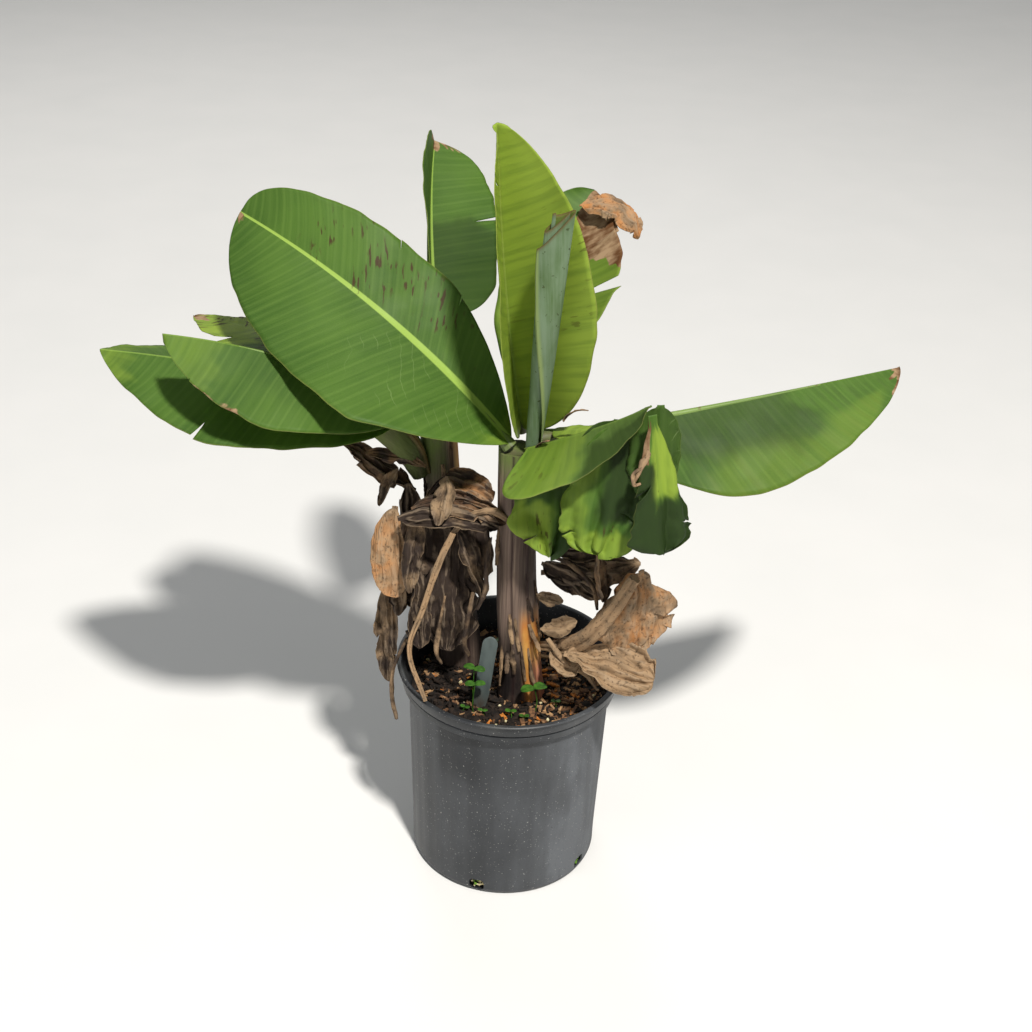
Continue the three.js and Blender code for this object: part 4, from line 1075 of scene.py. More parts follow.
def dried_leaf_material(colours):
    """Dried banana leaf: papery and matt. Gives painted shade in the creases, a painted highlight
    on the ridges, lines along the old veins, brown speckle and frayed pale margins."""
    material, tree = new_material("papery_dried_leaf")
    coords = add_node(tree, "ShaderNodeTexCoord")
    uv, place = coords.outputs["UV"], coords.outputs["Object"]
    crease, edge, _, _ = channels(tree, "shape")
    tan, orange, _, _ = channels(tree, "marks")
    lines = stretched_noise(tree, uv, (60.0, 420.0, 1.0), 3.0)
    ribs = stretched_noise(tree, uv, (14.0, 190.0, 1.0), 3.0)
    mottle = stretched_noise(tree, place, (55.0, 55.0, 55.0), 4.0)
    share = maths(tree, 'ADD', tan, remap(tree, mottle, 0.3, 0.7, -0.24, 0.24))
    base = mix_colours(tree, remap(tree, share, 0.05, 0.95), colours.dead_dark[:], colours.dead_tan[:])
    base = mix_colours(tree, maths(tree, 'MULTIPLY', orange, remap(tree, mottle, 0.35, 0.6)),
                       base, colours.dead_orange[:])
    base = mix_colours(tree, remap(tree, lines, 0.45, 0.30, 0.0, 0.5), base, linear("#3b2d20"))
    base = mix_colours(tree, remap(tree, ribs, 0.55, 0.75, 0.0, 0.40), base, linear("#93806b"))
    # Painted shade: the hollows of the folds and wrinkles are darkened, less on tan pieces.
    crease_shade = maths(tree, 'MULTIPLY', remap(tree, crease, 0.42, 0.10, 0.0, 0.85),
                    remap(tree, tan, 0.3, 0.9, 1.0, 0.35))
    base = mix_colours(tree, crease_shade, base, linear("#1b1511"))
    # Painted highlight: the ridges of the folds are lightened.
    base = mix_colours(tree, remap(tree, crease, 0.80, 1.0, 0.0, 0.30), base, linear("#a5917a"))
    specks = add_node(tree, "ShaderNodeTexNoise",
                      {"Vector": place, "Scale": 300.0, "Detail": 2.0}).outputs["Fac"]
    base = mix_colours(tree, remap(tree, specks, 0.58, 0.66, 0.0, 0.5), base, linear("#2a1f17"))
    base = mix_colours(tree, remap(tree, edge, 0.965, 0.998, 0.0, 0.45), base, linear("#97836c"))
    height = maths(tree, 'ADD', lines, maths(tree, 'ADD', ribs,
                                             maths(tree, 'MULTIPLY', mottle, 1.4)))
    finish_shader(tree, base, remap(tree, mottle, 0.3, 0.7, 0.78, 0.92), height, (0.6, 0.0012),
                  0.22, colours.dead_tan[:], 0.08)
    return material


def sheath_material(colours):
    """Dried leaf sheaths of a banana pseudostem: fibrous and weathered. Gives long upright
    fibres, dark seams, orange and pink where a sheath has split, green where one still lives."""
    material, tree = new_material("fibrous_dried_sheath")
    coords = add_node(tree, "ShaderNodeTexCoord")
    uv, place = coords.outputs["UV"], coords.outputs["Object"]
    seam, _, _, _ = channels(tree, "shape")
    orange, pink, dark, green = channels(tree, "marks")
    fibres = stretched_noise(tree, uv, (9.0, 430.0, 1.0), 4.0)
    bands = stretched_noise(tree, uv, (5.0, 95.0, 1.0), 3.0)
    mottle = stretched_noise(tree, place, (60.0, 60.0, 22.0), 4.0)
    base = mix_colours(tree, remap(tree, bands, 0.3, 0.7), linear("#584a41"), colours.sheath[:])
    base = mix_colours(tree, remap(tree, fibres, 0.5, 0.75, 0.0, 0.55), base, linear("#a18d76"))
    base = mix_colours(tree, remap(tree, fibres, 0.46, 0.28, 0.0, 0.6), base, linear("#382a24"))
    base = mix_colours(tree, maths(tree, 'MULTIPLY', green, remap(tree, mottle, 0.3, 0.6, 0.6, 1.0)),
                       base, linear("#5d6b35"))
    ochre = mix_colours(tree, remap(tree, mottle, 0.35, 0.65), linear("#b8722f"), linear("#c8984e"))
    base = mix_colours(tree, maths(tree, 'MULTIPLY', orange, remap(tree, bands, 0.2, 0.5, 0.6, 1.0)),
                       base, ochre)
    base = mix_colours(tree, maths(tree, 'MULTIPLY', pink, remap(tree, fibres, 0.25, 0.6, 0.5, 1.0)),
                       base, linear("#c08068"))
    # Dark is the sheath's own dark tissue, and low on the main stem's left it is painted shadow.
    base = mix_colours(tree, maths(tree, 'MULTIPLY', dark, remap(tree, mottle, 0.25, 0.5, 0.7, 1.0)),
                       base, linear("#1c1513"))
    base = mix_colours(tree, maths(tree, 'MULTIPLY', seam, 0.85), base, linear("#2b1a18"))
    height = maths(tree, 'ADD', fibres, maths(tree, 'MULTIPLY', mottle, 0.5))
    finish_shader(tree, base, remap(tree, mottle, 0.3, 0.7, 0.66, 0.86), height, (0.55, 0.0012), 0.3)
    return material


def pot_material(colours):
    """Black polypropylene nursery pot, blow moulded: a dull shell gone grey with dust. Gives a
    soft low gloss, upright dusty runs, pale specks, a paler rim, a painted leaf shadow with less
    dust high on the left of the front, and painted light as thicker dust on the right of the front."""
    material, tree = new_material("dusty_moulded_polypropylene")
    coords = add_node(tree, "ShaderNodeTexCoord")
    place = coords.outputs["Object"]
    rim, leaf_shadow_patch, inner, dust_and_painted_light = channels(tree, "shape")
    runs = stretched_noise(tree, place, (42.0, 42.0, 5.0), 4.0)
    grime = stretched_noise(tree, place, (16.0, 16.0, 12.0), 5.0)
    # Dust grains are far finer than a millimetre; 2 mm specks are the finest that show.
    specks = add_node(tree, "ShaderNodeTexNoise",
                      {"Vector": place, "Scale": 520.0, "Detail": 1.0}).outputs["Fac"]
    dusty = maths(tree, 'MULTIPLY', remap(tree, runs, 0.25, 0.75, 0.5, 1.0),
                  remap(tree, grime, 0.3, 0.7, 0.55, 1.0))
    # Painted shadow: less dust, so a darker patch, where the leaves shade the pot.
    dusty = maths(tree, 'MULTIPLY', dusty, remap(tree, leaf_shadow_patch, 0.0, 1.0, 1.0, 0.25))
    dusty = maths(tree, 'MULTIPLY', dusty, remap(tree, inner, 0.0, 1.0, 1.0, 0.3))
    dusty = maths(tree, 'MULTIPLY', dusty, remap(tree, rim, 0.0, 1.0, 1.0, 0.45))
    # Painted light: more dust, so a paler pot, on the right of the front.
    dusty = maths(tree, 'MULTIPLY', dusty, remap(tree, dust_and_painted_light, 0.0, 1.0, 0.48, 1.5))
    base = mix_colours(tree, dusty, colours.pot[:], colours.dust[:])
    base = mix_colours(tree, maths(tree, 'MULTIPLY', rim, remap(tree, grime, 0.45, 0.65, 0.0, 0.25)),
                       base, linear("#5c5d58"))
    base = mix_colours(tree, remap(tree, specks, 0.70, 0.76, 0.0, 0.55), base, linear("#b9b8b2"))
    base = mix_colours(tree, remap(tree, specks, 0.33, 0.27, 0.0, 0.4), base, linear("#1f2022"))
    height = maths(tree, 'ADD', maths(tree, 'MULTIPLY', specks, 0.6), grime)
    finish_shader(tree, base, remap(tree, dusty, 0.2, 0.9, 0.45, 0.72), height, (0.2, 0.0004), 0.36)
    return material


def crumb_material(name, pair, roughness, scale):
    """Small grains and chips: bark, perlite, moss or grit. Gives two near colours and a coarse
    broken surface, the same all round a grain."""
    material, tree = new_material(name)
    place = add_node(tree, "ShaderNodeTexCoord").outputs["Object"]
    grain = add_node(tree, "ShaderNodeTexNoise",
                     {"Vector": place, "Scale": scale, "Detail": 4.0}).outputs["Fac"]
    base = mix_colours(tree, remap(tree, grain, 0.35, 0.65), linear(pair[0]), linear(pair[1]))
    finish_shader(tree, base, roughness, grain, (0.7, 0.0012), 0.3)
    return material


def label_material(colours):
    """Polystyrene plant label, extruded and weathered. Gives a satin face in a dark grey that
    paints the shade over a grey-white label, with rain marks and soil splash towards its foot."""
    material, tree = new_material("weathered_polystyrene_label")
    place = add_node(tree, "ShaderNodeTexCoord").outputs["Object"]
    splash, _, _, _ = channels(tree, "shape")
    marks = stretched_noise(tree, place, (90.0, 90.0, 26.0), 4.0)
    base = mix_colours(tree, remap(tree, marks, 0.3, 0.7), linear("#414948"), colours.label[:])
    soil = maths(tree, 'MULTIPLY', splash, remap(tree, marks, 0.35, 0.6))
    base = mix_colours(tree, soil, base, linear("#3a322a"))
    finish_shader(tree, base, remap(tree, marks, 0.3, 0.7, 0.38, 0.55), marks, (0.15, 0.0004), 0.5)
    return material


def seedling_material():
    """Soft seedling leaf: thin and juicy. Gives two near greens, a fine blistered surface and
    yellow-green light through it."""
    material, tree = new_material("soft_seedling_leaf")
    place = add_node(tree, "ShaderNodeTexCoord").outputs["Object"]
    cells = add_node(tree, "ShaderNodeTexNoise",
                     {"Vector": place, "Scale": 220.0, "Detail": 3.0}).outputs["Fac"]
    base = mix_colours(tree, remap(tree, cells, 0.35, 0.65), linear("#2c5219"), linear("#4a7a28"))
    finish_shader(tree, base, 0.5, cells, (0.3, 0.0005), 0.4, linear("#8fb83a"), 0.25)
    return material


def floor_material():
    """Plain matt studio paper with a very faint grain."""
    material, tree = new_material("plain_matt_floor")
    place = add_node(tree, "ShaderNodeTexCoord").outputs["Object"]
    grain = add_node(tree, "ShaderNodeTexNoise",
                     {"Vector": place, "Scale": 6.0, "Detail": 2.0}).outputs["Fac"]
    base = mix_colours(tree, grain, linear("#d9d9d7"), linear("#dfdedc"))
    finish_shader(tree, base, 0.9, grain, (0.02, 0.001), 0.2)
    return material


# ---------------------------------------------------------------------------------- operators
class PieceOperator(bpy.types.Operator):
    """Shared base of the operators that build pieces."""
    bl_options = {'REGISTER', 'UNDO'}


class PLANT_OT_pot(PieceOperator):
    """Nursery pot with panelled body, banded rim and drain holes"""
    bl_idname = "plant.pot"
    bl_label = "Nursery Pot"

    def execute(self, context):
        sizes, colours = context.scene.pot_sizes, context.scene.plant_colours
        top, rim, wall = sizes.height, sizes.rim_radius, sizes.wall
        body_top, base, base_round = 0.117, 0.110, 0.008
        band, collar, groove = 0.1235, 0.126, 0.002
        band_low, band_high = top - 0.029, top - 0.018
        collar_low, collar_high = top - 0.016, top - 0.003
        corners = [(0.05, 0.0), (base - base_round, 0.0)]
        for angle in np.radians((-65, -40, -15, 0)):
            corners.append((base - base_round + base_round * np.cos(angle),
                            base_round + base_round * np.sin(angle)))
        for share in np.linspace(0.08, 1, 14):
            corners.append((base + (body_top - base) * share,
                            base_round + (band_low - base_round) * share))
        corners += [
            (body_top + 0.001, band_low + 0.0006), (band - 0.0012, band_low + 0.0012),
            (band, band_low + 0.0026), (band + 0.0003, band_high - 0.0014), (band - 0.0008, band_high),
            (band - groove, band_high + 0.0004), (band - groove, collar_low - 0.0004),
            (collar - 0.0008, collar_low), (collar, collar_low + 0.0012),
            (collar + 0.001, collar_high - 0.001), (rim - 0.0012, collar_high - 0.0002),
            (rim, collar_high + 0.0010), (rim, top - 0.0012), (rim - 0.0010, top - 0.0002),
            (rim - 0.0045, top), (rim - 2 * wall, top - 0.0010),
            (body_top - wall + 0.004, band_low + 0.006), (body_top - wall, band_low - 0.004)]
        for share in np.linspace(0.85, 0.0, 5):
            corners.append((base - wall + (body_top - base) * share,
                            wall + (band_low - 0.004 - wall) * share))
        corners.append((0.05, wall))
        sides = sizes.panel_count * 8
        pot = turned("nursery_pot_shell", corners, sides)
        co = places(pot)
        radius = np.hypot(co[:, 0], co[:, 1])
        angle = np.arctan2(co[:, 1], co[:, 0])
        step = 2 * np.pi / sizes.panel_count
        across = (angle / step) % 1.0 - 0.5
        flat = np.cos(step / 2) / np.cos(across * step)
        groove_line = np.clip(1 - np.abs(np.abs(across) - 0.5) / 0.13, 0, 1)
        outer = ((radius > base - 0.001) & (co[:, 2] > 0.006) & (co[:, 2] < band_low - 0.001)
                 & (radius > base + (body_top - base) * co[:, 2] / band_low - 0.0015))
        fade = smooth(co[:, 2], 0.012, 0.03) * (1 - smooth(co[:, 2], band_low - 0.02, band_low))
        shrink = 1 + (flat - 1) * 1.6 * fade - groove_line * fade * 0.006
        co[:, :2] *= np.where(outer, shrink, 1.0)[:, None]
        set_places(pot, co)
        cutters = []
        for index in range(DRAIN_HOLES):
            angle = np.radians(FIRST_HOLE + 360 / DRAIN_HOLES * index)
            bpy.ops.object.select_all(action='DESELECT')
            bpy.ops.mesh.primitive_cube_add(
                size=1, rotation=(0, 0, angle), scale=HOLE_SIZE,
                location=(HOLE_REACH * np.cos(angle), HOLE_REACH * np.sin(angle), HOLE_HEIGHT))
            cutter = bpy.context.object
            only(cutter)
            bpy.ops.object.transform_apply(location=True, rotation=True, scale=True)
            apply_modifier(cutter, 'BEVEL', width=0.005, segments=4)
            cutters.append(cutter)
        cutter = join("drain_cutter", cutters)
        apply_modifier(pot, 'BOOLEAN', operation='DIFFERENCE', solver='EXACT', object=cutter)
        bpy.data.objects.remove(cutter)
        co = places(pot)
        radius = np.hypot(co[:, 0], co[:, 1])
        # A smooth patch high on the left of the front with less dust: a painted shadow of the leaves above.
        angle = np.degrees(np.arctan2(co[:, 1], co[:, 0])) + 118
        painted_leaf_shadow = ((1 - smooth(np.abs(angle), 9, 19)) * smooth(co[:, 2], 0.15, 0.185)
                * (co[:, 2] < band_low))
        inner = (radius < base - 0.0015 + (body_top - base) * co[:, 2] / band_low) & (co[:, 2] > 0.002)
        # Dust is painted thickest on the right of the front and thins out round the pot: painted light
        # on the side the key lamp faces.
        dust_and_painted_light = np.exp(-((np.degrees(np.arctan2(co[:, 1], co[:, 0])) + 38) / 34) ** 2)
        paint(pot, "shape", (co[:, 2] > band_low).astype(float), painted_leaf_shadow, inner.astype(float), dust_and_painted_light)
        shade(pot, 32)
        hand_over(pot, pot_material(colours), "pot_plastic", "nursery_pot")
        return {'FINISHED'}


class PLANT_OT_potting_mix(PieceOperator):
    """Potting mix, its bark chips and perlite, and the bits in the drain holes"""
    bl_idname = "plant.potting_mix"
    bl_label = "Potting Mix"

    def execute(self, context):
        sizes = context.scene.pot_sizes
        dice = random.Random(context.scene.plant_sizes.seed)
        corners = [(0.04, 0.0036), (0.1045, 0.0036), (0.1132, 0.214), (0.1134, 0.222)]
        corners += [(r, mix_height(r)) for r in np.linspace(0.1125, 0.004, 36)]
        mix = turned("potting_mix_mound", corners, 150)
        co = places(mix)
        upper = co[:, 2] > 0.2225
        lumps = fractal(co * [1, 1, 0], 0.016, 3, 4) * 0.0035 + fractal(co * [1, 1, 0], 0.05, 5, 2) * 0.003
        co[:, 2] += np.where(upper, lumps, 0)
        set_places(mix, co)
        shade(mix)
        hand_over(mix, crumb_material("moist_bark_mix", ("#0d0a08", "#241b15"), 0.9, 170.0),
                  "bark_mix", "potting_mix")
        chip = self.chip_source()
        kinds = (("bark_chips_dark", ("#130f0c", "#2c2119")),
                 ("bark_chips_brown", ("#523a29", "#7a583c")),
                 ("bark_chips_tan", ("#84664a", "#a8845c")),
                 ("bark_chips_orange", ("#9a5a24", "#c07a34")))
        beds = {name: [] for name, _ in kinds}
        for _ in range(sizes.chip_count):
            reach = 0.110 * np.sqrt(dice.random())
            angle = dice.uniform(0, 2 * np.pi)
            x, y = reach * np.cos(angle), reach * np.sin(angle)
            # Chips on the left are picked dark more often: painted shadow where the leaves shade the mix.
            lit = float(smooth(x, -0.04, 0.06))
            pick = max(0.0, 1 - dice.random() * (1.05 + 2.4 * (1 - lit)))
            name = ("bark_chips_dark" if pick < 0.30 else "bark_chips_brown" if pick < 0.66
                    else "bark_chips_tan" if pick < 0.92 else "bark_chips_orange")
            long = dice.uniform(0.004, 0.009) if dice.random() < 0.8 else dice.uniform(0.009, 0.016)
            scale = np.array([long, long * dice.uniform(0.22, 0.5), dice.uniform(0.0012, 0.0028)])
            height = float(mix_height(reach)) + dice.uniform(0.0002, 0.0035)
            beds[name].append((np.array([x, y, height]), spin_matrix(dice), scale))
        for name, pair in kinds:
            if beds[name]:
                bed = copies(name, chip, beds[name])
                hand_over(bed, crumb_material(name, pair, 0.85, 240.0), "bark_mix")
        bpy.data.objects.remove(chip)
        self.grains(dice)
        return {'FINISHED'}

    def chip_source(self):
        bpy.ops.object.select_all(action='DESELECT')
        bpy.ops.mesh.primitive_cube_add(size=1, location=(0, 0, 0))
        chip = bpy.context.object
        bpy.ops.object.mode_set(mode='EDIT')
        bpy.ops.mesh.select_all(action='SELECT')
        bpy.ops.mesh.subdivide(number_cuts=1)
        bpy.ops.object.mode_set(mode='OBJECT')
        co = places(chip)
        co += np.stack([fractal(co, 0.8, 11 + k, 1) for k in range(3)], 1) * 0.22
        co[:, 1] *= 1 - 0.35 * np.abs(co[:, 0])
        set_places(chip, co)
        return chip

    def grains(self, dice):
        """Perlite and moss, as small lumps on the mix and in the drain holes."""
        bpy.ops.object.select_all(action='DESELECT')
        bpy.ops.mesh.primitive_ico_sphere_add(subdivisions=2, radius=0.5, location=(0, 0, 0))
        grain = bpy.context.object
        co = places(grain)
        set_places(grain, co * (1 + 0.35 * fractal(co, 0.45, 21, 2))[:, None])
        perlite, moss = [], []
        for _ in range(34):
            reach, angle = 0.106 * np.sqrt(dice.random()), dice.uniform(0, 2 * np.pi)
            perlite.append((np.array([reach * np.cos(angle), reach * np.sin(angle), 0.2305]),
                            spin_matrix(dice, 1.5), np.array([0.004, 0.003, 0.003]) * dice.uniform(0.6, 1.3)))
        for index in range(DRAIN_HOLES):
            turn = np.radians(FIRST_HOLE + 360 / DRAIN_HOLES * index)
            for _ in range(22):
                side, up = dice.uniform(-0.0075, 0.0075), dice.uniform(0.0055, 0.0165)
                reach = dice.uniform(0.1035, 0.1065)
                place = np.array([reach * np.cos(turn) - side * np.sin(turn),
                                  reach * np.sin(turn) + side * np.cos(turn), up])
                green = index == 1 or dice.random() < 0.25
                (moss if green else perlite).append(
                    (place, spin_matrix(dice, 1.5), np.array([1, 0.9, 0.8]) * dice.uniform(0.0022, 0.0045)))
        hand_over(copies("perlite_grains", grain, perlite),
                  crumb_material("stained_perlite", ("#a8975c", "#d8cfae"), 0.85, 500.0), "bark_mix")
        hand_over(copies("drain_hole_moss", grain, moss),
                  crumb_material("damp_moss", ("#3f6a20", "#7aa03a"), 0.9, 700.0), "bark_mix")
        bpy.data.objects.remove(grain)


class PLANT_OT_stems(PieceOperator):
    """The two pseudostems of wrapped leaf sheaths"""
    bl_idname = "plant.stems"
    bl_label = "Pseudostems"

    def execute(self, context):
        material = sheath_material(context.scene.plant_colours)
        main = limb("main_pseudostem_sheaths", MAIN_STEM, 150, 96, self.main_shape)
        hand_over(main, material, "dried_sheath", "main_pseudostem")
        rear = limb("rear_pseudostem_sheaths", REAR_STEM, 130, 80, self.rear_shape)
        hand_over(rear, material, "dried_sheath", "rear_pseudostem")
        flare = limb("rear_green_sheath_flare", REAR_SHEATH, 50, 56, self.flare_shape)
        hand_over(flare, material, "dried_sheath", "rear_green_sheath")
        return {'FINISHED'}

    def wraps(self, along, around, radius, edges, seed):
        """Overlapping sheaths: the radius steps down at each edge, which winds a little."""
        reach = radius.copy()
        seam = np.zeros(len(along))
        for index, (place, wind, step) in enumerate(edges):
            line = place + wind * along + 0.012 * fractal(on_sheet(along * 5), 1.0, seed + index, 2)
            off = (around - line) % 1.0
            reach += step * (1 - smooth(off, 0.0, 0.42)) - step * 0.25
            seam = np.maximum(seam, np.exp(-((np.minimum(off, 1 - off) / 0.011) ** 2)))
        reach += 0.9 * fractal(on_ring(around, along, 2, 3), 1.0, seed + 9, 3)
        reach += 0.35 * ridges(on_ring(around, along, 9, 2), 1.0, seed + 10, 2)
        return reach, seam

    def main_shape(self, along, around, radius, length):
        edges = [(0.62, -0.05, 2.4), (0.30, 0.04, 2.0), (0.05, 0.05, 2.0), (0.45, 0.03, 1.2)]
        reach, seam = self.wraps(along, around, radius, edges, 31)
        reach += 2.2 * (1 - smooth(along, 0.0, 0.10))
        front_right = smooth(around, 0.50, 0.56) * (1 - smooth(around, 0.72, 0.80))
        orange = front_right * (1 - smooth(along, 0.30, 0.42))
        pink = orange * (1 - smooth(along, 0.10, 0.24)) * smooth(around, 0.56, 0.62)
        # The dark low on the left and back is painted shadow at the stem's foot; the dark on the front right
        # higher up is the sheath's own maroon.
        dark = np.maximum((1 - smooth(along, 0.10, 0.34)) * (1 - smooth(around, 0.50, 0.57)),
                          0.55 * front_right * smooth(along, 0.36, 0.5))
        green = smooth(along, 0.86, 1.0)
        return reach, (seam, 0, 0, along), (orange, pink, dark, green)

    def rear_shape(self, along, around, radius, length):
        edges = [(0.58, 0.05, 2.2), (0.25, -0.04, 2.0), (0.9, 0.03, 1.8)]
        reach, seam = self.wraps(along, around, radius, edges, 47)
        orange = smooth(along, 0.62, 0.8) * smooth(around, 0.58, 0.7) * 0.75
        green = smooth(along, 0.70, 0.9) * (1 - smooth(around, 0.5, 0.62))
        dark = 0.7 * (1 - smooth(along, 0.35, 0.8))
        return reach, (seam, 0, 0, along), (orange, 0 * along, dark, green)

    def flare_shape(self, along, around, radius, length):
        edges = [(0.66, 0.03, 2.5), (0.2, 0.0, 1.5)]
        reach, seam = self.wraps(along, around, radius, edges, 53)
        pale = np.exp(-(((around - 0.70) / 0.03) ** 2))
        marks = (0.35 * pale, 0.2 * pale, 0.35 * (1 - along), 0.9)
        return reach, (seam * 0.6, 0, 0, along), marks


class PLANT_OT_green_leaves(PieceOperator):
    """The green leaves of both stems"""
    bl_idname = "plant.green_leaves"
    bl_label = "Green Leaves"

    def execute(self, context):
        sizes = context.scene.plant_sizes
        material = banana_blade_material(context.scene.plant_colours, sizes)
        for index, (name, leaf) in enumerate(GREEN_LEAVES.items()):
            blade = green_leaf(name + "_blade", leaf, GREEN_LOOKS[name], sizes, 100 + 10 * index)
            hand_over(blade, material, "green_leaf", name)
        for index, (name, leaf) in enumerate(DROOPING_LEAF.items()):
            blade = green_leaf(name + "_blade", leaf, DROOPING_LOOKS[name], sizes, 300 + 10 * index)
            hand_over(blade, material, "green_leaf", name)
        for index, (name, leaf) in enumerate(DROOPING_BACK.items()):
            blade = green_leaf(name, leaf, DROOPING_LOOKS[name], sizes, 400 + 10 * index)
            hand_over(blade, material, "green_leaf")
        return {'FINISHED'}


class PLANT_OT_new_leaf(PieceOperator):
    """The rolled new leaf, a sheet wound on itself"""
    bl_idname = "plant.new_leaf"
    bl_label = "Rolled New Leaf"

    def execute(self, context):
        rows, columns = 110, 110
        roll, x, y = flat_grid("rolled_new_leaf_sheet", rows, columns)
        along, wind = (x + 1) / 2, (y + 1) / 2
        place, side, front, radius, _ = limb_line(*NEW_LEAF, rows + 1)
        turns = 2.1
        # The outer edge of the sheet winds round the roll, from its left at the top to its right
        # at the foot. Angles are from the front, positive to the right.
        angle = np.radians(62 - 142 * along) + 2 * np.pi * turns * (1 - wind)
        # The top slants: it is lowest on the left, where the outer edge is.
        cut = 0.5 + 0.5 * np.cos(angle - np.radians(-80))
        high = along * (1 - 0.13 * cut * wind - 0.02 * (1 - wind)) + 0.003 * np.sin(wind * 23)
        at_row = np.clip(high, 0, 1) * rows
        low = np.minimum(np.floor(at_row).astype(int), rows - 1)
        part = (at_row - low)[:, None]
        line = place[low] * (1 - part) + place[low + 1] * part
        size = radius[low] * (1 - part[:, 0]) + radius[low + 1] * part[:, 0]
        reach = size * (0.30 + 0.70 * wind ** 0.8) + 1.2 * smooth(wind, 0.93, 1.0)
        ring = np.stack([np.cos(angle), np.sin(angle), along * 4], 1)
        reach *= 1 + 0.05 * fractal(ring, 1.0, 17, 2)
        # Towards its top the roll is pressed flat, so that its mouth is a narrow slit.
        flat = 1 - 0.72 * smooth(along, 0.66, 1.0)
        out = (side[low] * np.sin(angle)[:, None]
               - front[low] * (np.cos(angle) * flat)[:, None])
        set_uv(roll, along * 0.31, wind * 0.2)
        paint(roll, "shape", smooth(along, 0.985, 1.0), wind, 0, along)
        set_places(roll, (line + out * reach[:, None]) * MM)
        count = len(x)
        apply_modifier(roll, 'SOLIDIFY', thickness=0.0007, offset=0.0)
        layer = roll.data.color_attributes["shape"]
        rgba = np.empty(4 * len(roll.data.vertices), np.float32)
        layer.data.foreach_get("color", rgba)
        rgba = rgba.reshape(-1, 4)
        centre = np.vstack([line * MM] * 2)[:len(rgba)]
        reach_now = np.linalg.norm(places(roll) - centre, axis=1)
        other = np.concatenate([reach_now[count:], reach_now[:count]])
        rgba[:, 2] = (reach_now < other).astype(float)
        layer.data.foreach_set("color", rgba.ravel())
        shade(roll)
        hand_over(roll, new_leaf_material(context.scene.plant_colours), "new_leaf", "rolled_new_leaf")
        return {'FINISHED'}


class PLANT_OT_leaf_stalks(PieceOperator):
    """Stalks of the leaves, which run on below their blades as raised midribs"""
    bl_idname = "plant.leaf_stalks"
    bl_label = "Leaf Stalks"

    def execute(self, context):
        stalks = []
        for index, leaf in enumerate(GREEN_LEAVES.values()):
            stations, point, _, up = midrib_line(leaf)
            start = leaf.stalk / (leaf.stalk + leaf.length)
            ends = np.linspace(0, start + 0.72 * (1 - start), 9)
            points, ups = at(ends, stations, point), at(ends, stations, up)
            thick = min(5.5, 2.5 + leaf.length / 90)
            radii = thick * (1 - 0.78 * ends / ends[-1])
            points = points - ups * (radii * 0.85)[:, None]
            stalks.append(limb("leaf_stalk", ([tuple(p) for p in points], list(radii)), 56, 20,
                               self.stalk_shape(200 + index)))
        piece = join("leaf_stalks", stalks)
        hand_over(piece, stalk_material(), "green_leaf")
        return {'FINISHED'}

    def stalk_shape(self, seed):
        """A round stalk, swollen where it leaves its stem."""
        def shape(along, around, radius, length):
            lumps = fractal(on_ring(around, along, 1, 5), 1.0, seed, 2)
            reach = radius * (1 + 0.05 * lumps) * (1 + 0.5 * (1 - smooth(along, 0.0, 0.08)))
            return reach, (0, 0, 1 - smooth(along, 0.0, 0.10), along), (0, 0, 0, 0)
        return shape


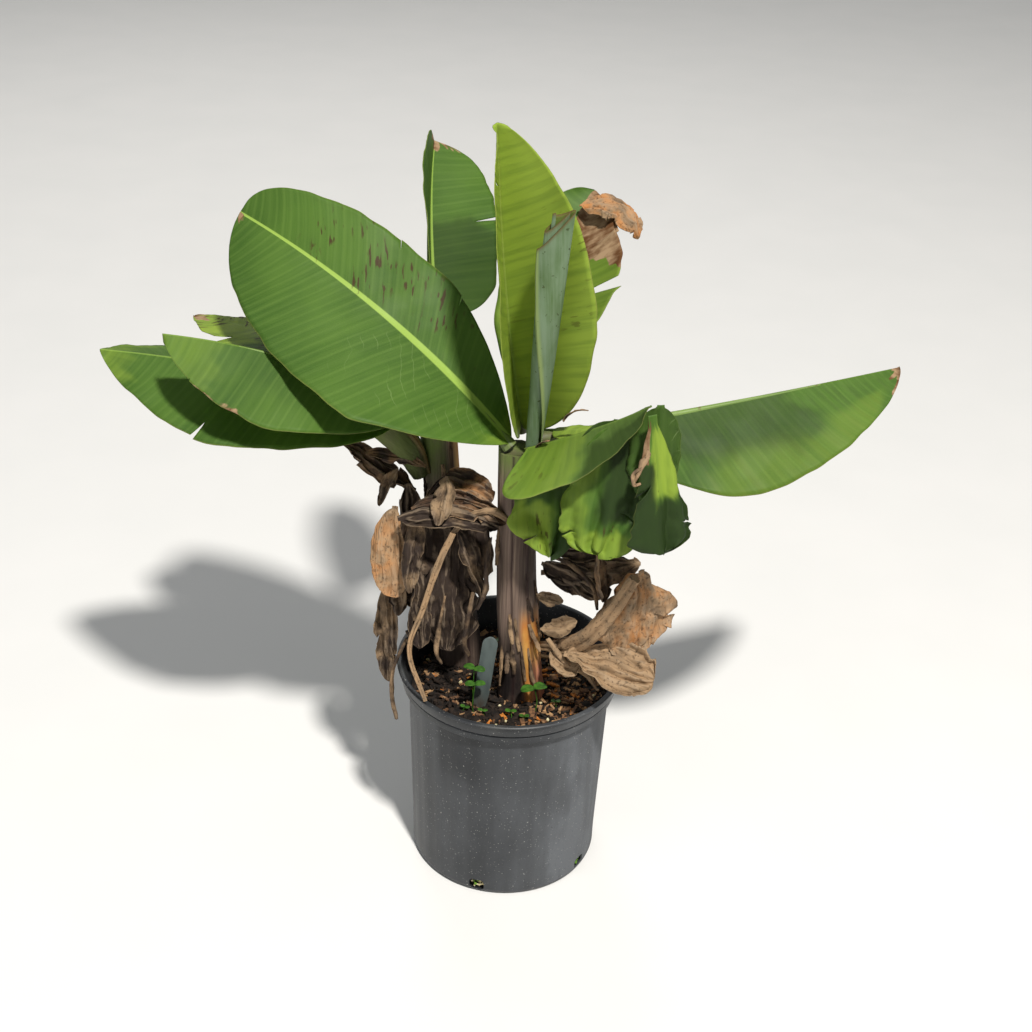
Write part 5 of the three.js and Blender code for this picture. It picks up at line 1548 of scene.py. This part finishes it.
class PLANT_OT_dead_leaves(PieceOperator):
    """Dried leaves that hang from both stems"""
    bl_idname = "plant.dead_leaves"
    bl_label = "Dried Leaves"

    def execute(self, context):
        sizes = context.scene.plant_sizes
        material = dried_leaf_material(context.scene.plant_colours)
        for index, (name, leaf) in enumerate(DEAD_LEAVES.items()):
            blade = dead_leaf(name + "_blade", leaf, DEAD_LOOKS[name], sizes, 500 + 20 * index)
            hand_over(blade, material, "dead_leaf", name)
        scraps = {"dried_scraps_left": [], "dried_scraps_right": []}
        for index, (name, leaf) in enumerate(DEAD_SCRAPS.items()):
            side = "left" if leaf.base[0] <= SCRAPS_SPLIT else "right"
            scraps["dried_scraps_" + side].append(
                dead_leaf(name, leaf, DEAD_LOOKS[name], sizes, 900 + 20 * index))
        ribbons = [ribbon(name, *settings, 1100 + 10 * index)
                   for index, (name, settings) in enumerate(RIBBONS.items())]
        scraps["dried_ribbons_and_strands"] = ribbons + self.loose_strands(sizes)
        for name, pieces in scraps.items():
            hand_over(join(name, pieces), material, "dead_leaf")
        for name, line, seed in (("dried_stalk_left", LEFT_STALK, 71),
                                 ("dried_stalk_right", RIGHT_STALK, 83)):
            stalk = limb(name + "_channel", line, 90, 28, self.stalk_shape(seed))
            hand_over(stalk, material, "dead_leaf", name)
        return {'FINISHED'}

    def loose_strands(self, sizes):
        """Thin shreds that hang from both stems, all round."""
        dice = random.Random(sizes.seed + 11)
        strands = []
        for index in range(sizes.strand_count):
            stem, radius = (MAIN_STEM, 23) if dice.random() < 0.5 else (REAR_STEM, 23)
            height, way = dice.uniform(290, 520), dice.uniform(0, 2 * np.pi)
            middle = [np.interp(height, [p[2] for p in stem[0]], [p[axis] for p in stem[0]])
                      for axis in (0, 1)]
            drop, off = dice.uniform(18, 60), dice.uniform(0.5, 5)
            line = [(middle[0] + (radius + off * step) * np.cos(way + 0.08 * step),
                     middle[1] + (radius + off * step) * np.sin(way + 0.08 * step),
                     height - drop * step / 3) for step in range(4)]
            strands.append(ribbon("strand", line, dice.uniform(2.5, 7), np.degrees(way),
                                  dice.uniform(1.0, 2.6), dice.uniform(0.1, 0.7), 1300 + 10 * index))
        return strands

    def stalk_shape(self, seed):
        """An angular stalk with a groove along its front."""
        def shape(along, around, radius, length):
            groove = np.exp(-(((around - 0.47) / 0.08) ** 2))
            lumps = fractal(on_ring(around, along, 2, 5), 1.0, seed, 3)
            angles = 0.12 * np.abs(np.cos(np.pi * 3 * (around + 0.06 * along)))
            fibres = ridges(on_ring(around, along, 5, 2), 1.0, seed + 1, 2)
            reach = radius * (0.92 - 0.40 * groove + 0.24 * lumps + angles + 0.05 * fibres)
            # Its crease channel is lowest in the groove, which paints shade there.
            crease = np.clip(0.62 - 0.5 * groove + 0.2 * lumps + 0.15 * fibres + angles, 0, 1)
            return reach, (crease, 0, 0, along), (0.85 + 0.15 * lumps, 0.12 + 0 * along, 0, 0)
        return shape


class PLANT_OT_seedlings(PieceOperator):
    """Small weed seedlings at the foot of the stem"""
    bl_idname = "plant.seedlings"
    bl_label = "Seedlings"

    def execute(self, context):
        dice = random.Random(context.scene.plant_sizes.seed + 5)
        # Each is its place, the height of its leaves and the size of one leaf, in millimetres.
        spots = [(-40, -58, 290, 6.5), (-39, -60, 270, 6), (-27, -66, 238, 3), (2, -64, 238, 3.5),
                 (-50, -58, 236, 3), (30, -52, 262, 8), (20, -70, 236, 3), (56, -40, 236, 3),
                 (62, 20, 238, 5), (-20, 70, 238, 4), (20, 82, 236, 3)]
        leaves = []
        for x, y, height, size in spots:
            foot = (x, y, SEEDLING_FOOT)
            middle = (x + dice.uniform(-3, 3), y + dice.uniform(-3, 3), (SEEDLING_FOOT + height) / 2)
            top = (x + dice.uniform(-2, 2), y, height)
            leaves.append(limb("seedling_stalk", ([foot, middle, top], [0.7, 0.6, 0.5]), 8, 8,
                               self.stalk_shape))
            for turn in (0, np.pi):
                angle = dice.uniform(-0.4, 0.4) + turn
                bpy.ops.object.select_all(action='DESELECT')
                bpy.ops.mesh.primitive_grid_add(x_subdivisions=10, y_subdivisions=10, size=2)
                leaf = bpy.context.object
                co = places(leaf)
                disc = np.stack([co[:, 0] * np.sqrt(1 - co[:, 1] ** 2 / 2),
                                 co[:, 1] * np.sqrt(1 - co[:, 0] ** 2 / 2)], 1)
                across = disc * size * np.array([1.0, 0.85])
                local_x = across[:, 0] + size * 0.95
                rise = 0.25 * local_x - 0.02 * local_x ** 2 + 0.02 * across[:, 1] ** 2
                flat = np.stack([local_x * np.cos(angle) - across[:, 1] * np.sin(angle) + top[0],
                                 local_x * np.sin(angle) + across[:, 1] * np.cos(angle) + y,
                                 height + rise], 1)
                set_places(leaf, flat * MM)
                apply_modifier(leaf, 'SOLIDIFY', thickness=0.0005, offset=0.0)
                shade(leaf)
                leaves.append(leaf)
        weeds = join("weed_seedlings", leaves)
        hand_over(weeds, seedling_material(), "green_leaf")
        return {'FINISHED'}

    def stalk_shape(self, along, around, radius, length):
        return radius, (0, 0, 0, along), (0, 0, 0, 0)


class PLANT_OT_label(PieceOperator):
    """The blank plant label pushed into the mix"""
    bl_idname = "plant.label"
    bl_label = "Plant Label"

    def execute(self, context):
        sizes = context.scene.pot_sizes
        width, length, thick = sizes.label_width, sizes.label_length, 0.0014
        label, x, y = flat_grid("plant_label_stake", 60, 20)
        height = length * np.sin(np.pi / 4 * (x + 1))
        from_top = np.clip((length - height) / (width / 2), 0, 1)
        foot = 0.75 + 0.25 * smooth(height, 0.0, 0.022)
        half = width / 2 * np.sqrt(np.clip(1 - (1 - from_top) ** 2, 0.0004, 1)) * foot
        bow = 0.0016 * np.sin(height / length * 2.4) + 0.0007 * y ** 2
        set_places(label, np.stack([y * half, bow, height], 1))
        paint(label, "shape", 1 - smooth(height, 0.004, 0.03), 0, 0, 0)
        apply_modifier(label, 'SOLIDIFY', thickness=thick, offset=0.0)
        apply_modifier(label, 'BEVEL', width=0.0003, segments=2, limit_method='ANGLE')
        co = places(label)
        lean, tilt = np.radians(7), np.radians(8)
        y = co[:, 1] * np.cos(tilt) + co[:, 2] * np.sin(tilt)
        z = co[:, 2] * np.cos(tilt) - co[:, 1] * np.sin(tilt)
        x = co[:, 0] * np.cos(lean) + z * np.sin(lean)
        z = z * np.cos(lean) - co[:, 0] * np.sin(lean)
        low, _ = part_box("plant_label")
        foot_x, foot_y, sunk = -0.033, -0.049, 0.002
        set_places(label, np.stack([x + foot_x, y + foot_y, z + low.z - sunk], 1))
        shade(label, 35)
        hand_over(label, label_material(context.scene.plant_colours), "label_plastic", "plant_label")
        return {'FINISHED'}


class PLANT_OT_stage(bpy.types.Operator):
    """Floor, soft light and camera"""
    bl_idname = "plant.stage"
    bl_label = "Stage"

    def execute(self, context):
        scene, stage = context.scene, context.scene.stage_settings
        bpy.ops.object.select_all(action='DESELECT')
        bpy.ops.mesh.primitive_plane_add(size=24, location=(0, 0, 0))
        floor = context.object
        floor.name = "studio_floor"
        floor.data.materials.append(floor_material())
        target = Vector((0, 0, 0.455))
        away = Vector((0, -np.cos(stage.elevation), np.sin(stage.elevation)))
        data = bpy.data.cameras.new("plant_camera")
        data.lens, data.sensor_width = stage.lens, 36
        camera = bpy.data.objects.new("plant_camera", data)
        scene.collection.objects.link(camera)
        camera.location = target + away * stage.distance
        look = (target - camera.location).to_track_quat('-Z', 'Y')
        camera.rotation_euler = look.to_euler()
        camera.rotation_euler.rotate_axis('Z', stage.roll)
        scene.camera = camera
        lamps = (("key_softbox", (1.1, -2.9, 5.5), 0.45, stage.key_power, (1.0, 0.97, 0.92)),
                 ("fill_softbox", (-2.6, -2.6, 1.9), 2.2, stage.key_power * 0.035, (0.93, 0.96, 1.0)),
                 ("back_softbox", (-0.9, 3.2, 3.0), 1.8, stage.key_power * 0.06, (1.0, 0.98, 0.95)))
        for name, place, size, power, colour in lamps:
            lamp = bpy.data.lights.new(name, 'AREA')
            lamp.shape, lamp.size, lamp.energy, lamp.color = 'DISK', size, power, colour
            holder = bpy.data.objects.new(name, lamp)
            scene.collection.objects.link(holder)
            holder.location = place
            aim = (Vector((0, 0, 0.4)) - holder.location).to_track_quat('-Z', 'Y')
            holder.rotation_euler = aim.to_euler()
        world = bpy.data.worlds.new("even_surround")
        scene.world = world
        world.use_nodes = True
        background = world.node_tree.nodes["Background"]
        background.inputs["Color"].default_value = linear("#eef2f6")
        background.inputs["Strength"].default_value = stage.sky
        scene.view_settings.view_transform = 'Standard'
        return {'FINISHED'}


class PLANT_PT_panel(bpy.types.Panel):
    """Builds the plant step by step"""
    bl_label = "Banana Plant"
    bl_idname = "PLANT_PT_panel"
    bl_space_type = 'VIEW_3D'
    bl_region_type = 'UI'
    bl_category = "Banana Plant"

    def draw(self, context):
        for operator in OPERATORS:
            self.layout.operator(operator.bl_idname)
        for group in ("plant_sizes", "pot_sizes", "plant_colours", "stage_settings"):
            settings = getattr(context.scene, group)
            box = self.layout.box()
            for name in settings.__annotations__:
                box.prop(settings, name)


OPERATORS = (PLANT_OT_pot, PLANT_OT_potting_mix, PLANT_OT_stems, PLANT_OT_green_leaves,
             PLANT_OT_new_leaf, PLANT_OT_leaf_stalks, PLANT_OT_dead_leaves, PLANT_OT_seedlings,
             PLANT_OT_label, PLANT_OT_stage)
GROUPS = {"plant_sizes": PlantSizes, "pot_sizes": PotSizes, "plant_colours": PlantColours,
          "stage_settings": StageSettings}


def register():
    for name, group in GROUPS.items():
        bpy.utils.register_class(group)
        setattr(bpy.types.Scene, name, bpy.props.PointerProperty(type=group))
    for operator in OPERATORS:
        bpy.utils.register_class(operator)
    bpy.utils.register_class(PLANT_PT_panel)


def unregister():
    bpy.utils.unregister_class(PLANT_PT_panel)
    for operator in reversed(OPERATORS):
        bpy.utils.unregister_class(operator)
    for name, group in GROUPS.items():
        delattr(bpy.types.Scene, name)
        bpy.utils.unregister_class(group)


def main():
    register()
    for operator in OPERATORS:
        group, name = operator.bl_idname.split(".")
        getattr(getattr(bpy.ops, group), name)()
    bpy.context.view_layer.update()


if __name__ == "__main__":
    main()
